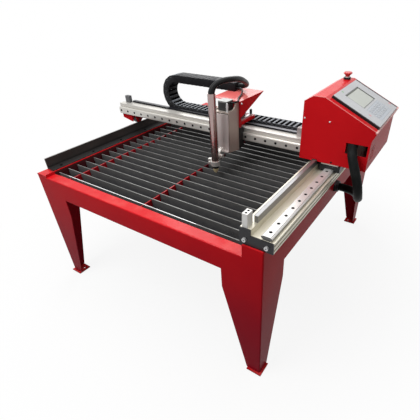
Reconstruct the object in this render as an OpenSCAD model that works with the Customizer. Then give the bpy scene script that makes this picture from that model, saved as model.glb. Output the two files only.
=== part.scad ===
// Plasma cutting table: a slatted bench, a rack-driven gantry, and a torch on a motor lift.
// Lengths are millimetres. x runs to the right, y to the back and z up.
// Pieces are drawn from the front left leg corner on the floor, then moved to the model's origin.

/* [Table] */
// Width over the legs
table_w = 1384; // [1300:1:1500]
// Depth over the legs
table_d = 1504; // [1440:1:1600]
// Height of the front rail above the floor
deck_h = 690; // [600:1:800]
// How much higher the left rail stands
left_rise = 10; // [8:1:20]
// How much higher the right rail stands
right_rise = 55; // [40:1:70]
// Height of the rail webs
rail_h = 110; // [100:1:130]
// Depth of the front and rear rail tops
flange_d = 56; // [45:1:66]
// How far the rear rail lies below the front rail
rear_drop = 26; // [20:1:30]
// Depth of the lower lip of the front and rear rails
lip_d = 40; // [25:1:50]
// Width of the left rail
left_rail_w = 79; // [76:1:86]
// Width of the right rail
right_rail_w = 90; // [80:1:100]
// Height that the left rail's inner wall stands above its top
left_lip_h = 6; // [2:1:10]
// Sheet thickness of legs and rails
sheet_t = 4; // [3:0.5:5]
// Outer radius of the folds
bend_r = 6; // [5.5:0.5:8]

/* [Legs] */
// Width of a leg's front plate at the top
leg_w = 190; // [160:1:220]
// Width of a leg's side plate at the top
leg_side_w = 185; // [160:1:220]
// Width of both plates at the floor
leg_foot_w = 70; // [60:1:90]
// Straight part of a leg below the rail
leg_straight = 95; // [60:1:130]
// Side of a foot plate
foot_size = 76; // [72:1:100]
// Thickness of a foot plate
foot_t = 6; // [4:1:10]
// How far a foot plate stands out
foot_over = 10; // [5:1:15]
// Floor anchor hole
anchor_d = 12; // [10:0.5:14]

/* [Slats] */
// Number of slats
slat_count = 25; // [18:1:27]
// Height of a slat
slat_h = 60; // [50:1:66]
// Thickness of a slat
slat_t = 4; // [3:0.5:6]
// From the table front to the first slat
slat_margin = 77; // [70:1:100]
// Thickness of the slotted bars under the slats
comb_t = 6; // [5:0.5:8]
// How far the slotted bars lie below the slat tops
comb_drop = 7; // [4:1:15]
// Width of the ledges at the slat ends
ledge_w = 30; // [20:1:40]
// Height of the slag tray wall
tray_h = 14; // [10:1:15]

/* [Left track] */
// Leg of the running angle
track_leg = 60; // [50:1:62]
// Thickness of the running angle
track_t = 6; // [5:0.5:8]
// From the table side to the running angle
track_inset = 6; // [4:1:8]
// From the table front to the running angle
track_start = 60; // [40:1:90]
// From the table rear to the running angle
track_end = 254; // [200:1:270]
// Number of bolts along the angle
track_bolts = 6; // [4:1:8]
// Roller diameter
roller_d = 40; // [36:1:44]
// Roller width
roller_w = 24; // [20:1:28]

/* [Right axis] */
// Width of the extrusion
ext_w = 137; // [134:1:142]
// Height of its low part
ext_h = 45; // [40:1:50]
// Width of its tall part
ext_post_w = 45; // [40:1:48]
// Height of its tall part
ext_post_h = 70; // [64:1:76]
// How far it overhangs the table side
ext_over = 33; // [25:1:40]
// From the table front to the extrusion
ext_inset = 14; // [10:1:20]
// Thickness of the end plates
end_plate_t = 6; // [4:0.5:8]
// From the guide centre to the outer edge
guide_edge = 32; // [28:1:36]

/* [Guides and racks] */
// Width of a guide's base
guide_w = 30; // [26:1:34]
// Height of a guide
guide_h = 17.5; // [16:0.5:20]
// Diameter of the guide's two shafts
guide_shaft_d = 10; // [8:0.5:12]
// Pitch of the guide screws
guide_pitch = 60; // [50:1:80]
// Width of the right-hand rack with its teeth
y_rack_w = 18; // [16:0.5:20]
// Height of the right-hand rack
y_rack_h = 28; // [24:1:32]
// Width of the beam rack with its teeth
x_rack_w = 24; // [18:0.5:25]
// Height of the beam rack
x_rack_h = 10; // [8:1:14]
// Size of the teeth
gear_module = 2; // [1.5:0.25:2.25]
// Teeth on a pinion
pinion_teeth = 18; // [18:1:20]
// Width of a stop block
stop_w = 22; // [18:1:24]
// Length of a stop block
stop_l = 36; // [30:1:38]
// Height of a stop block
stop_h = 57; // [50:1:64]

/* [Gantry] */
// How far the beam stands in front of the table's middle
beam_front = 42; // [12:1:92]
// Height of the beam
beam_h = 68; // [64:1:74]
// Depth of the beam
beam_d = 137; // [130:1:145]
// Depth of the beam's tall part
beam_post_d = 76; // [75:1:80]
// How far the chain's seat lies below the beam's top
seat_drop = 18; // [14:1:22]
// How far the beam reaches past the left side
beam_over = 95; // [85:1:110]
// How far the beam lies below the base plate top
beam_drop = 48; // [44:1:50]
// Height of the beam guide's centre above the beam's bottom
beam_guide_rise = 27; // [26:1:29]
// Thickness of the base plate
base_t = 12; // [10:1:14]
// Gap between the right-hand rack and the base plate
base_gap = 5; // [4:1:8]
// Width of a bearing block
bearing_w = 100; // [90:1:104]
// Length of a right-hand bearing block
bearing_l = 90; // [80:1:110]
// Thickness of a bearing block over its guide
bearing_cap = 18.5; // [16:0.5:20]
// Side of a drive motor
motor_size = 57; // [52:1:60]
// Length of a drive motor
motor_len = 76; // [60:1:80]
// Motor shaft
shaft_d = 8; // [6:0.5:9]

/* [Console] */
// From the console front to the beam
console_lead = 110; // [100:1:120]
// Depth of the console
console_d = 400; // [380:1:420]
// How far the console reaches left of the extrusion
console_left = 40; // [36:1:44]
// Width of the console body
console_w = 307; // [300:1:330]
// Height of the console
console_h = 284; // [270:1:300]
// How far the console hangs below the base plate
console_drop = 10; // [6:1:14]
// Width of the bevel at the top left
bevel_w = 40; // [34:1:46]
// Height of the bevel at the top left
bevel_h = 24; // [18:1:30]
// Width of the flat top
console_top = 50; // [46:1:60]
// How far the sloped face falls
slope_fall = 110; // [100:1:120]
// How far the sloped face stands out past the side
nose_w = 16; // [8:1:20]
// Height of the return under the sloped face
nose_h = 40; // [30:1:50]
// Sheet thickness of the console
shell_t = 2.5; // [2:0.25:3]
// Length of the control panel
panel_l = 330; // [310:1:340]
// Width of the control panel down the slope
panel_w = 234; // [225:1:238]
// Thickness of the control panel
panel_t = 10; // [8:0.5:12]
// Width of the cable opening
outlet_w = 91; // [86:1:95]
// Height of the cable opening
outlet_h = 48; // [46:1:56]
// Emergency stop head diameter
estop_d = 42; // [38:1:46]

/* [Carriage] */
// From the table's right side to the carriage centre
car_side = 554; // [524:1:684]
// Width of the carriage plate
car_w = 112; // [110:1:116]
// Thickness of the carriage plate
car_t = 12; // [10:1:14]
// Height of the cover above the beam top
cover_rise = 156; // [150:1:160]
// Sheet thickness of the cover
cover_t = 3; // [2:0.5:4]
// How far the cover reaches back
cover_d = 234; // [225:1:245]
// Height of the cover's side at the front
cover_side_h = 76; // [60:1:80]

/* [Lifter and torch] */
// Width of the lifter
lift_w = 96; // [92:1:98]
// Depth of the lifter housing
lift_d = 89; // [86:1:94]
// Height of the lifter's closed part
lift_h = 217; // [210:1:225]
// How much higher the lifter's side plates stand
lift_ear_h = 35; // [25:1:40]
// From the beam's bottom to the lifter's bottom
lift_drop = 29; // [20:1:34]
// How much the lifter's bottom rises to the front
lift_slope = 16; // [10:1:20]
// Wall of the lifter
lift_t = 5; // [4:0.5:6]
// Diameter of the lifter's rods and screw
rod_d = 12; // [10:0.5:12.5]
// Length of the lift motor
z_motor_len = 47; // [44:1:54]
// Torch tube diameter
tube_d = 38; // [36:0.5:40]
// Torch tube length
tube_l = 360; // [340:1:372]
// From the lift plate to the torch axis
torch_reach = 56; // [52:1:60]
// Height of the torch tip above the slats
tip_gap = 12; // [11:1:20]

/* [Drag chain] */
// Width of the chain
chain_w = 85; // [76:1:88]
// Height of the chain
chain_h = 43; // [38:1:46]
// Wall of a link
link_t = 4; // [3:0.5:5]
// Links in the lower run
lower_links = 30; // [28:1:30]
// Links in the upper run
upper_links = 14; // [14:1:15]
// Links around the bend
bend_links = 8; // [8:1:10]
// Length of a straight link
link_l = 29.5; // [29:0.25:30]

/* [Hidden] */
$fn = 48;

// Overrun of every cut, and the fits that pieces share
cut = 1;
run_fit = 0.05;
slide_fit = 0.3;
bolt_play = 0.5;

// Colours
red = [0.72, 0.07, 0.09];
dark_steel = [0.2, 0.2, 0.21];
bright_steel = [0.75, 0.76, 0.78];
pale_aluminium = [0.86, 0.85, 0.8];
black = [0.06, 0.06, 0.07];
brass = [0.8, 0.65, 0.25];

// Levels and edges of the table
left_z = deck_h + left_rise;
right_z = deck_h + right_rise;
rail_z = deck_h - rail_h;
right_in = table_w - right_rail_w;
taper_z = rail_z - leg_straight;
foot_hole = 42;

// Slats and what holds them
slat_z = deck_h - slat_h;
slat_step = (table_d - slat_margin * 2) / (slat_count - 1);
slat_end_gap = 3;
slat_play = 0.25;
comb_h = 83;
comb_place_shares = [0.132, 0.51];
ledge_t = 6;
tray_gap = 2;
tray_t = 2;

// Left track
track_z = left_z + track_leg;
track_x = track_inset + track_t / 2;
bolt_d = 8;
bolt_head = [13, 6];
track_bolt_x = track_inset + track_leg * 0.62;
track_bolt_step = (table_d - track_end - track_start * 3) / (track_bolts - 1);

// Right axis
ext_x1 = table_w + ext_over;
ext_x0 = ext_x1 - ext_w;
ext_y1 = table_d - ext_inset;
ext_wall = 4;
ext_groove = [8, 9];
ext_groove_shares = [0.27, 0.73];
ext_z1 = right_z + ext_h;
post_x1 = ext_x0 + ext_post_w;
post_z1 = right_z + ext_post_h;
y_guide_x = ext_x1 - guide_edge;
guide_end = 16;
guide_first = 30.5;
guide_span = table_d - guide_end * 2;
guide_half = guide_w / 2 + guide_shaft_d * 0.7;
shaft_rise_share = 0.58;
screw_d = 6;
screw_head = [12.5, 5.5];
counterbore = 7;
y_guide_z = ext_z1 + guide_h;
end_bolt_d = 10;
end_bolt_head = [16, 9];
stop_hole_d = 8;
stop_hole_deep = 30;
stop_inset_share = 0.18;

// Teeth
tooth_pitch = PI * gear_module;
pressure = 20;
pitch_r = gear_module * pinion_teeth / 2;
tip_r = pitch_r + gear_module;
root_r = pitch_r - gear_module * 1.25;
base_r = pitch_r * cos(pressure);
backlash = 0.4;
rack_gap = 12;

// Gantry base and bearings
base_z0 = post_z1 + y_rack_h + base_gap;
base_z1 = base_z0 + base_t;
bearing_z1 = y_guide_z + bearing_cap;
bearing_end = 10;

// Beam
beam_z0 = base_z1 - beam_drop;
beam_z1 = beam_z0 + beam_h;
beam_x0 = -beam_over;
beam_y = table_d / 2 - beam_front;
car_x = table_w - car_side;
mount_t = 12;
mount_gap = 1;
beam_x1 = ext_x0 - mount_t * 2 - mount_gap;
mount_z1_share = 1.3;
beam_wall = 5;
x_guide_z = beam_z0 + beam_guide_rise;
x_guide_y = beam_y - guide_h;
x_guide_inset = 6;
x_guide_first = 16;
x_rack_front = 50;
x_rack_y0 = beam_y + x_rack_front;
x_stop_l_share = 0.8;
x_stop_inset = 28;
x_stop_right = 80;
x_stop_h = 43;
x_stop_front = 30;
x_stop_gap = 3;
x_stop_x = beam_x0 + x_stop_inset;

// Left support
roller_gap = slide_fit;
roller_z = track_z + roller_gap + roller_d / 2;
roller_back = 30;
roller_y = beam_y + roller_back;
fork_front = 4;
fork_t = 6;
fork_l = 84;
axle_d = 12;
fork_gap = 3;
wing_inset = 4;
wing_h = 26;
fork_x0 = track_x - roller_w / 2 - fork_gap - fork_t;
fork_x1 = track_x + roller_w / 2 + fork_gap + fork_t;

// Console outline, drawn clockwise from the lower left
cons_x0 = ext_x0 - console_left;
cons_x1 = cons_x0 + console_w;
cons_z0 = base_z0 - console_drop;
cons_z1 = cons_z0 + console_h;
cons_y0 = beam_y - console_lead;
cons_y1 = cons_y0 + console_d;
slope_x = cons_x0 + bevel_w + console_top;
nose_x = cons_x1 + nose_w;
console_outline = [
    [cons_x0, cons_z0],
    [cons_x0, cons_z1 - bevel_h],
    [cons_x0 + bevel_w, cons_z1],
    [slope_x, cons_z1],
    [nose_x, cons_z1 - slope_fall],
    [cons_x1, cons_z1 - slope_fall - nose_h],
    [cons_x1, cons_z0]
];
slope_deg = atan2(slope_fall, nose_x - slope_x);
beam_door_gap = 8;
vent_count = 5;
vent = [60, 5];
vent_step = 13;
outlet_side = 9;
outlet_rise = 65;
outlet_x = cons_x1 - outlet_side - outlet_w;
outlet_z = cons_z0 + outlet_rise;
console_screw_d = 9;
console_screw_h = 3;
console_screw_inset = 9;
rack_notch_gap = 3;

// Control panel, placed down the slope from its upper edge
panel_drop = 16;
panel_y = (cons_y0 + cons_y1 - panel_l) / 2;
panel_body_in = 16;
panel_body_h = 42;
panel_hole_play = 1;
screen_w = 96;
screen_l = 168;
screen_drop = 34;
screen_deep = 3;
screen_t = 2;
key_size = [14, 20];
key_h = 1.2;
key_step = [20, 26];
key_rows = 3;
key_columns = 6;
key_drop = 152;

// Emergency stop
estop_x = cons_x0 + bevel_w + console_top / 2;
estop_y = cons_y0 + console_d * 0.9;
estop_base_d = 34;
estop_base_h = 9;
estop_neck_d = 22;
estop_travel = 6;
estop_head_h = 16;
estop_rise = 8;

// Drives
y_pinion_x = post_x1 - y_rack_w + gear_module - pitch_r;
y_pinion_back = 190;
y_pinion_y = beam_y + y_pinion_back;
pinion_gap = 3;
motor_corner = 5;
motor_seat = 20;
x_motor_left = 15;
x_pinion_x = car_x - x_motor_left;
x_pinion_y = x_rack_y0 + gear_module - pitch_r;
unit_gap = 12;
terminal = [70, 60, 100];
supply_box = [110, 70, 120];
driver_box = [34, 100, 110];

// Carriage
lift_gap = 65;
lift_y1 = beam_y - lift_gap;
car_y1 = lift_y1 + car_t;
car_low = 18;
car_z0 = beam_z0 - car_low;
cover_z = beam_z1 + cover_rise;
car_z1 = cover_z - cover_t;
cover_x0 = car_x - car_w / 2 - cover_t;
cover_x1 = car_x + car_w / 2 + cover_t;
cover_reach = 56;
x_bearing_l = 40;
x_bearing_inset = 14;
motor_plate_t = 5;
motor_plate_gap = 31;
motor_plate_d = 149;
motor_lip_h = 12;
motor_plate_left = 50;
motor_plate_right = 48;
motor_plate_z = beam_z1 + x_rack_h + motor_plate_gap;
motor_plate_x0 = car_x - motor_plate_left;
motor_plate_x1 = car_x + motor_plate_right;
lever_right = 34;
lever_back = 25;
lever_x = car_x + lever_right;
lever_y = car_y1 + lever_back;
lever_w = 12;
lever_l = 106;
lever_t = 8;
lever_pin_d = 8;
knob_d = 14;
knob_h = 24;

// Lifter
lift_y0 = lift_y1 - lift_d;
lift_z0 = beam_z0 - lift_drop;
lift_z1 = lift_z0 + lift_h;
lift_floor = lift_z0 + lift_slope;
rod_front = 45;
rod_y = lift_y1 - rod_front;
rod_step = 48;
ear_d = 28;
notch_r = lift_ear_h - lift_t;
slider_w = 74;
slider_h = 60;
slider_rise = 16;
plate_t = 6;
plate_gap = 4;
plate_rise = 21;
plate_top_drop = 7;
plate_lip = [12, 5];
plate_y1 = lift_y0 - plate_gap;
plate_y0 = plate_y1 - plate_t;
plate_z0 = lift_z0 + plate_rise;
slider_back = 12;

// Torch
torch_y = plate_y0 - torch_reach;
tip_z = deck_h + tip_gap;
tip_h = 7;
shield_h = 22;
head_h = 11;
tube_z = tip_z + tip_h + shield_h + head_h;
head_d = 34;
shield_d = [33, 20];
nozzle_d = 10;
nozzle_bore = 1.5;
holder_h = 24;
holder_wall = 5;
holder_rise = 3;
holder_z = tube_z + holder_rise;
arm_w = 22;
arm_t = 14;
arm_left = 12;
lug_w = 16;
lug_l = 17;
lug_over = 6;
lug_slit = 3;
clamp_screw_d = 6;
clamp_knob = [20, 16];
clamp_knob_back = 32;
clamp_knob_rise = 41;
lead_d = 26;
lead_points = [
    [-69, 120, 178], [-48, 119.5, 179.5], [-28.5, 114, 183.5], [-12, 103.5, 190.5], [1, 89.5, 198.5],
    [14, 64.5, 211], [25.5, 37, 222.5], [36, 6, 235], [46, -28, 248], [53, -63, 259], [56.5, -98, 267],
    [56, -130, 271.5], [50, -158.5, 274], [40.5, -177, 273.3], [28, -193, 268], [20.9, -200.3, 263.8],
    [15, -206.5, 258], [9.5, -211.5, 250.6], [5, -215.5, 242], [1.8, -218.4, 232.3], [0, -220, 222]
];
lead_side = [0.6, 0.2, -0.77];
cable_d = 8;
cable_points = [
    [28.5, -112, 157], [40, -111.5, 158], [51, -106, 160], [57, -94, 161], [55, -79, 162], [45, -62, 162],
    [31, -39, 161.5], [19, -8, 161.5], [10, 21, 163], [-1, 48, 168], [-16, 70, 173], [-35, 85, 175],
    [-52, 92, 173], [-69, 94, 170]
];
cable_side = [0.8, 0.1, -0.6];

// Both leads of the carriage are routed from here
car_origin = [car_x, beam_y, beam_z1];

// Supply lead, from the console opening to the gland in the right rail
supply_d = 40;
supply_origin = [table_w, beam_y, right_z];
supply_points = [
    [86, -46, 194], [86, -70, 193.5], [88, -94, 189.5], [94, -117, 179.5], [104, -137, 162], [117, -151, 138],
    [131, -159, 109.5], [144, -161, 78], [153, -157, 45.5], [157, -146, 13], [157, -127, -16], [154, -101, -41],
    [149, -69, -61], [140, -34, -75], [126, 0, -84], [106, 29, -91], [80, 50, -96], [51, 61, -99], [20.5, 63, -100]
];
supply_side = [0.75, 0.05, 0.65];
gland_d = 56;
gland_l = 20;
gland_back = 63;
gland_drop = 100;
gland_y = beam_y + gland_back;
gland_z = right_z - gland_drop;
tube_sides = 10;

// Drag chain
chain_side_gap = 1;
chain_y = beam_y + beam_post_d + chain_side_gap;
chain_z = beam_z1 - seat_drop;
chain_out_r = (cover_z + chain_h - chain_z) / 2;
chain_in_r = chain_out_r - chain_h;
chain_end_t = 4;
chain_end_left = 69;
chain_x1 = car_x - chain_end_left - chain_end_t;
chain_bend_x = chain_x1 - upper_links * link_l;
link_gap = 0.4;
link_bar_share = 0.45;
link_bar_t = 4;

// Model origin: the middle of the footprint's box, on the floor
mid_x = (beam_x0 + nose_x) / 2;
mid_y = table_d / 2;

module place() translate([-mid_x, -mid_y, 0]) children();
module box(low, high) translate(low) cube(high - low);
module along_x(x0, x1) translate([x0, 0, 0]) rotate([90, 0, 90]) linear_extrude(x1 - x0) children();
module along_y(y0, y1) translate([0, y1, 0]) rotate([90, 0, 0]) linear_extrude(y1 - y0) children();
module along_z(z0, z1) translate([0, 0, z0]) linear_extrude(z1 - z0) children();
module at_rear() translate([0, table_d, 0]) mirror([0, 1, 0]) children();
module at_right() translate([table_w, 0, 0]) mirror([1, 0, 0]) children();
module upright(x, y, z0, z1, d) translate([x, y, z0]) cylinder(h = z1 - z0, d = d);

// Shape of a folded sheet corner, with its outer corner on the origin
module fold(a, b) {
    translate([bend_r, 0]) square([a - bend_r, sheet_t]);
    translate([0, bend_r]) square([sheet_t, b - bend_r]);
    intersection() {
        square(bend_r);
        translate([bend_r, bend_r]) difference() {
            circle(bend_r);
            circle(bend_r - sheet_t);
        }
    }
}

// Points of an outline moved inwards by a wall
function unit(v) = v / norm(v);
function right_of(v) = [v[1], -v[0]];
function inset(points, wall) = [
    for (i = [0 : len(points) - 1])
        let (
            n = len(points),
            before = right_of(unit(points[i] - points[(i + n - 1) % n])),
            after = right_of(unit(points[(i + 1) % n] - points[i]))
        )
        points[i] + (before + after) * wall / (1 + before * after)
];

// A tube swept along a route, with flat ends that face along head and tail
function route_dir(p, i) = unit(p[i + 1] - p[i - 1]);
module swept(points, d, side, head, tail) {
    last = len(points) - 1;
    rings = [
        for (i = [0 : len(points) - 1])
            let (
                dir = i == 0 ? head : i == last ? tail : route_dir(points, i),
                u = unit(cross(dir, side)),
                v = cross(dir, u)
            )
            for (k = [0 : tube_sides - 1])
                points[i] + (u * cos(k * 360 / tube_sides) + v * sin(k * 360 / tube_sides)) * d / 2
    ];
    skin = [
        for (i = [0 : last - 1], k = [0 : tube_sides - 1])
            let (
                a = i * tube_sides + k,
                b = i * tube_sides + (k + 1) % tube_sides
            )
            each [[a, a + tube_sides, b], [b, a + tube_sides, b + tube_sides]]
    ];
    start = [for (k = [1 : tube_sides - 2]) [0, k, k + 1]];
    stop = [for (k = [1 : tube_sides - 2]) [last * tube_sides, last * tube_sides + k + 1, last * tube_sides + k]];
    polyhedron(rings, concat(skin, start, stop));
}

// Teeth
function involute(r) = let (c = sqrt(max(pow(r / base_r, 2) - 1, 0))) c * 180 / PI - atan(c);
function half_tooth(r) = 90 / pinion_teeth - backlash / 4 / pitch_r * 180 / PI + involute(pitch_r) - involute(r);
function polar(r, a) = [r * cos(a), r * sin(a)];
flank_shares = [0, 0.3, 0.55, 0.8, 1];
function flank_r(share) = base_r + (tip_r - base_r) * share;
function tooth(a) = concat(
    [polar(root_r, a - half_tooth(base_r))],
    [for (s = flank_shares) polar(flank_r(s), a - half_tooth(flank_r(s)))],
    [for (i = [len(flank_shares) - 1 : -1 : 0]) polar(flank_r(flank_shares[i]), a + half_tooth(flank_r(flank_shares[i])))],
    [polar(root_r, a + half_tooth(base_r))]
);
module pinion_shape() polygon([for (i = [0 : pinion_teeth - 1]) each tooth(i * 360 / pinion_teeth)]);

// A toothed bar from s0 to s1, with its tips on v = 0, and a gap between teeth at s = mesh
module rack_shape(s0, s1, mesh, w) {
    lean = tan(pressure);
    half = tooth_pitch / 4 - backlash / 4;
    first = ceil((s0 - mesh) / tooth_pitch);
    count = floor((s1 - mesh) / tooth_pitch) - first;
    teeth = [
        for (i = [0 : count - 1])
            let (s = mesh + (first + i + 0.5) * tooth_pitch)
            each [
                [s - half - gear_module * 1.25 * lean, gear_module * 2.25],
                [s - half + gear_module * lean, 0],
                [s + half - gear_module * lean, 0],
                [s + half + gear_module * 1.25 * lean, gear_module * 2.25]
            ]
    ];
    polygon(concat([[s0, w], [s0, gear_module * 2.25]], teeth, [[s1, gear_module * 2.25], [s1, w]]));
}

// Frame: rails
module cross_rail(drop, clear_top) {
    difference() {
        along_x(left_rail_w, right_in) {
            translate([0, deck_h - drop]) mirror([0, 1]) fold(flange_d, rail_h - drop - bend_r);
            translate([0, rail_z]) fold(lip_d, rail_h / 2);
        }
        box([0, -cut, 0], [leg_w, flange_d + cut, clear_top]);
        box([table_w - leg_w, -cut, 0], [table_w, flange_d + cut, clear_top]);
    }
}

module side_rail(top, width, lip) {
    difference() {
        union() {
            along_y(0, table_d) translate([0, top]) mirror([0, 1]) fold(width, top - rail_z);
            box([width - sheet_t, sheet_t, rail_z + leg_straight * 0.2], [width, table_d - sheet_t, top + lip]);
        }
        box([-cut, -cut, 0], [bend_r, leg_side_w, top - bend_r]);
        box([-cut, table_d - leg_side_w, 0], [bend_r, table_d + cut, top - bend_r]);
    }
}

module front_rail() color(red) place() cross_rail(0, deck_h - bend_r);
module rear_rail() color(red) place() at_rear() cross_rail(rear_drop, deck_h);

module left_rail() {
    color(red) place() difference() {
        side_rail(left_z, left_rail_w, left_lip_h);
        track_bolt_places() upright(0, 0, left_z - sheet_t - cut, left_z + cut, bolt_d + bolt_play);
    }
}

module right_rail() {
    color(red) place() difference() {
        at_right() side_rail(right_z, right_rail_w, 0);
        translate([table_w - sheet_t - cut, gland_y, gland_z]) rotate([0, 90, 0])
            cylinder(h = sheet_t + cut * 2, d = supply_d + bolt_play * 2);
    }
}

// Frame: legs
module leg(top, rail_w) {
    difference() {
        along_z(foot_t, top - sheet_t) fold(leg_w, leg_side_w);
        along_y(-cut, leg_foot_w) polygon([
            [leg_foot_w, foot_t - cut], [leg_foot_w, foot_t], [leg_w, taper_z],
            [leg_w + cut, taper_z], [leg_w + cut, foot_t - cut]
        ]);
        along_x(-cut, leg_foot_w) polygon([
            [leg_foot_w, foot_t - cut], [leg_foot_w, foot_t], [leg_side_w, taper_z],
            [leg_side_w + cut, taper_z], [leg_side_w + cut, foot_t - cut]
        ]);
        box([rail_w, -cut, deck_h - bend_r], [leg_w + cut, sheet_t + cut, top]);
        box([-cut, -cut, top - bend_r], [bend_r, leg_side_w + cut, top]);
    }
    difference() {
        box([-foot_over, -foot_over, 0], [foot_size - foot_over, foot_size - foot_over, foot_t]);
        upright(foot_hole, foot_hole, -cut, foot_t + cut, anchor_d);
    }
}

module leg_front_left() color(red) place() leg(left_z, left_rail_w);
module leg_front_right() color(red) place() at_right() leg(right_z, right_rail_w);
module leg_rear_left() color(red) place() at_rear() leg(left_z, left_rail_w);
module leg_rear_right() color(red) place() at_rear() at_right() leg(right_z, right_rail_w);

// Frame: cutting bed
module slat_places() for (i = [0 : slat_count - 1]) translate([0, slat_margin + i * slat_step, 0]) children();

module slats() {
    color(dark_steel) place() slat_places()
        box([left_rail_w + slat_end_gap, -slat_t / 2, slat_z], [right_in - slat_end_gap, slat_t / 2, deck_h]);
}

// A slotted bar, stepped down at the back to pass under the rear rail's top
module comb(x) {
    half = slat_t / 2 + slat_play;
    step_y = table_d - flange_d - tray_gap;
    difference() {
        box([x, sheet_t, deck_h - comb_drop - comb_h], [x + comb_t, table_d - sheet_t, deck_h - comb_drop]);
        slat_places() box([x - cut, -half, slat_z], [x + comb_t + cut, half, deck_h]);
        box([x - cut, step_y, deck_h - rear_drop - comb_drop], [x + comb_t + cut, table_d, deck_h]);
    }
}

module ledge(x) box([x, flange_d, slat_z - ledge_t], [x + ledge_w, table_d - flange_d, slat_z]);

module slat_supports() {
    color(red) place() {
        for (share = comb_place_shares) comb(table_w * share);
        ledge(left_rail_w);
        ledge(right_in - ledge_w);
    }
}

module slag_tray() {
    low = [left_rail_w + tray_gap, sheet_t + tray_gap, rail_z + sheet_t];
    high = [right_in - tray_gap, table_d - sheet_t - tray_gap, rail_z + sheet_t + tray_h];
    wall = [tray_t, tray_t, tray_t];
    color(dark_steel) place() difference() {
        box(low, high);
        box(low + wall, high + [-tray_t, -tray_t, cut]);
    }
}

// Frame: left track
module track_bolt_places() {
    for (i = [0 : track_bolts - 1])
        translate([track_bolt_x, track_start * 2 + i * track_bolt_step, 0]) children();
}

module track_angle() {
    color(dark_steel) place() difference() {
        along_y(track_start, table_d - track_end) translate([track_inset, left_z]) {
            square([track_leg, track_t]);
            square([track_t, track_leg]);
        }
        track_bolt_places() upright(0, 0, left_z - cut, left_z + track_t + cut, bolt_d + bolt_play);
    }
}

// Frame: right axis
module ext_shape() {
    difference() {
        translate([ext_x0, right_z]) union() {
            square([ext_w, ext_h]);
            square([ext_post_w, ext_post_h]);
        }
        translate([ext_x0 + ext_wall, right_z + ext_wall])
            square([ext_post_w - ext_wall * 2, ext_post_h - ext_wall * 2]);
        translate([post_x1, right_z + ext_wall])
            square([(ext_w - ext_post_w) / 2 - ext_wall, ext_h - ext_wall * 3]);
        for (share = ext_groove_shares)
            translate([ext_x1 - ext_groove[1], right_z + ext_h * share - ext_groove[0] / 2])
                square([ext_groove[1] + cut, ext_groove[0]]);
    }
}

module y_extrusion() color(pale_aluminium) place() along_y(ext_inset, ext_y1) ext_shape();

// A guide's section: base and two shafts, standing on v = 0 about u = 0
module guide_shape() {
    translate([-guide_w / 2, 0]) square([guide_w, guide_h]);
    for (side = [-1, 1])
        translate([side * (guide_half - guide_shaft_d / 2), guide_h * shaft_rise_share]) circle(d = guide_shaft_d);
}

module guide_screw_hole() {
    translate([0, 0, -cut]) cylinder(h = guide_h + cut * 2, d = screw_d + bolt_play);
    translate([0, 0, guide_h - counterbore]) cylinder(h = counterbore + cut, d = screw_head[0] + bolt_play * 2);
}

module guide_screw() {
    cylinder(h = guide_h - counterbore, d = screw_d);
    translate([0, 0, guide_h - counterbore]) difference() {
        cylinder(h = screw_head[1], d = screw_head[0]);
        translate([0, 0, screw_head[1] / 2]) cylinder(h = screw_head[1], d = screw_d * 0.8, $fn = 6);
    }
}

module y_screw_places() {
    count = floor((guide_span - guide_first * 2) / guide_pitch);
    for (i = [0 : count])
        translate([y_guide_x, guide_end + guide_first + i * guide_pitch, ext_z1]) children();
}

module y_guide() {
    color(bright_steel) place() difference() {
        along_y(guide_end, table_d - guide_end) translate([y_guide_x, ext_z1]) guide_shape();
        y_screw_places() guide_screw_hole();
    }
}

module y_rack() {
    color(bright_steel) place() translate([post_x1 - y_rack_w, 0, post_z1]) linear_extrude(y_rack_h)
        mirror([1, 0]) rotate(90)
        rack_shape(ext_inset + stop_l + rack_gap, ext_y1 - stop_l - rack_gap, y_pinion_y, y_rack_w);
}

module end_bolt_places() {
    translate([ext_x0 + ext_post_w / 2, 0, right_z + ext_h * 0.55]) children();
    translate([ext_x1 - ext_h * 0.55, 0, right_z + ext_h * 0.5]) children();
}

module end_plate() {
    difference() {
        along_y(ext_inset - end_plate_t, ext_inset) translate([ext_x0, right_z]) union() {
            square([ext_w, ext_h]);
            square([ext_post_w, ext_post_h]);
        }
        end_bolt_places() translate([0, ext_inset + cut, 0]) rotate([90, 0, 0])
            cylinder(h = end_plate_t + cut * 2, d = end_bolt_d + bolt_play);
    }
}

module y_end_plates() {
    color(black) place() {
        end_plate();
        at_rear() end_plate();
    }
}

module stop_block(l, h) {
    difference() {
        cube([stop_w, l, h]);
        for (share = [0.27, 0.73])
            upright(stop_w / 2, l * share, h - stop_hole_deep, h + cut, stop_hole_d);
    }
}

module y_stops() {
    color(pale_aluminium) place() {
        translate([ext_x0 + ext_post_w * stop_inset_share, ext_inset, post_z1]) stop_block(stop_l, stop_h);
        at_rear() translate([ext_x0 + ext_post_w * stop_inset_share, ext_inset, post_z1]) stop_block(stop_l, stop_h);
    }
}

module hex_bolt(head, d, grip) {
    translate([0, 0, -grip]) cylinder(h = grip, d = d);
    cylinder(h = head[1], d = head[0], $fn = 6);
}

module socket_bolt(head, d, grip) {
    translate([0, 0, -grip]) cylinder(h = grip, d = d);
    difference() {
        cylinder(h = head[1], d = head[0]);
        translate([0, 0, head[1] / 2]) cylinder(h = head[1], d = d * 0.8, $fn = 6);
    }
}

module end_bolts() {
    end_bolt_places() translate([0, ext_inset - end_plate_t, 0]) rotate([90, 0, 0])
        socket_bolt(end_bolt_head, end_bolt_d, end_plate_t);
}

module rail_screws() {
    color(bright_steel) place() {
        track_bolt_places() translate([0, 0, left_z + track_t]) hex_bolt(bolt_head, bolt_d, track_t + sheet_t);
        y_screw_places() guide_screw();
        end_bolts();
        at_rear() end_bolts();
    }
}

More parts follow.
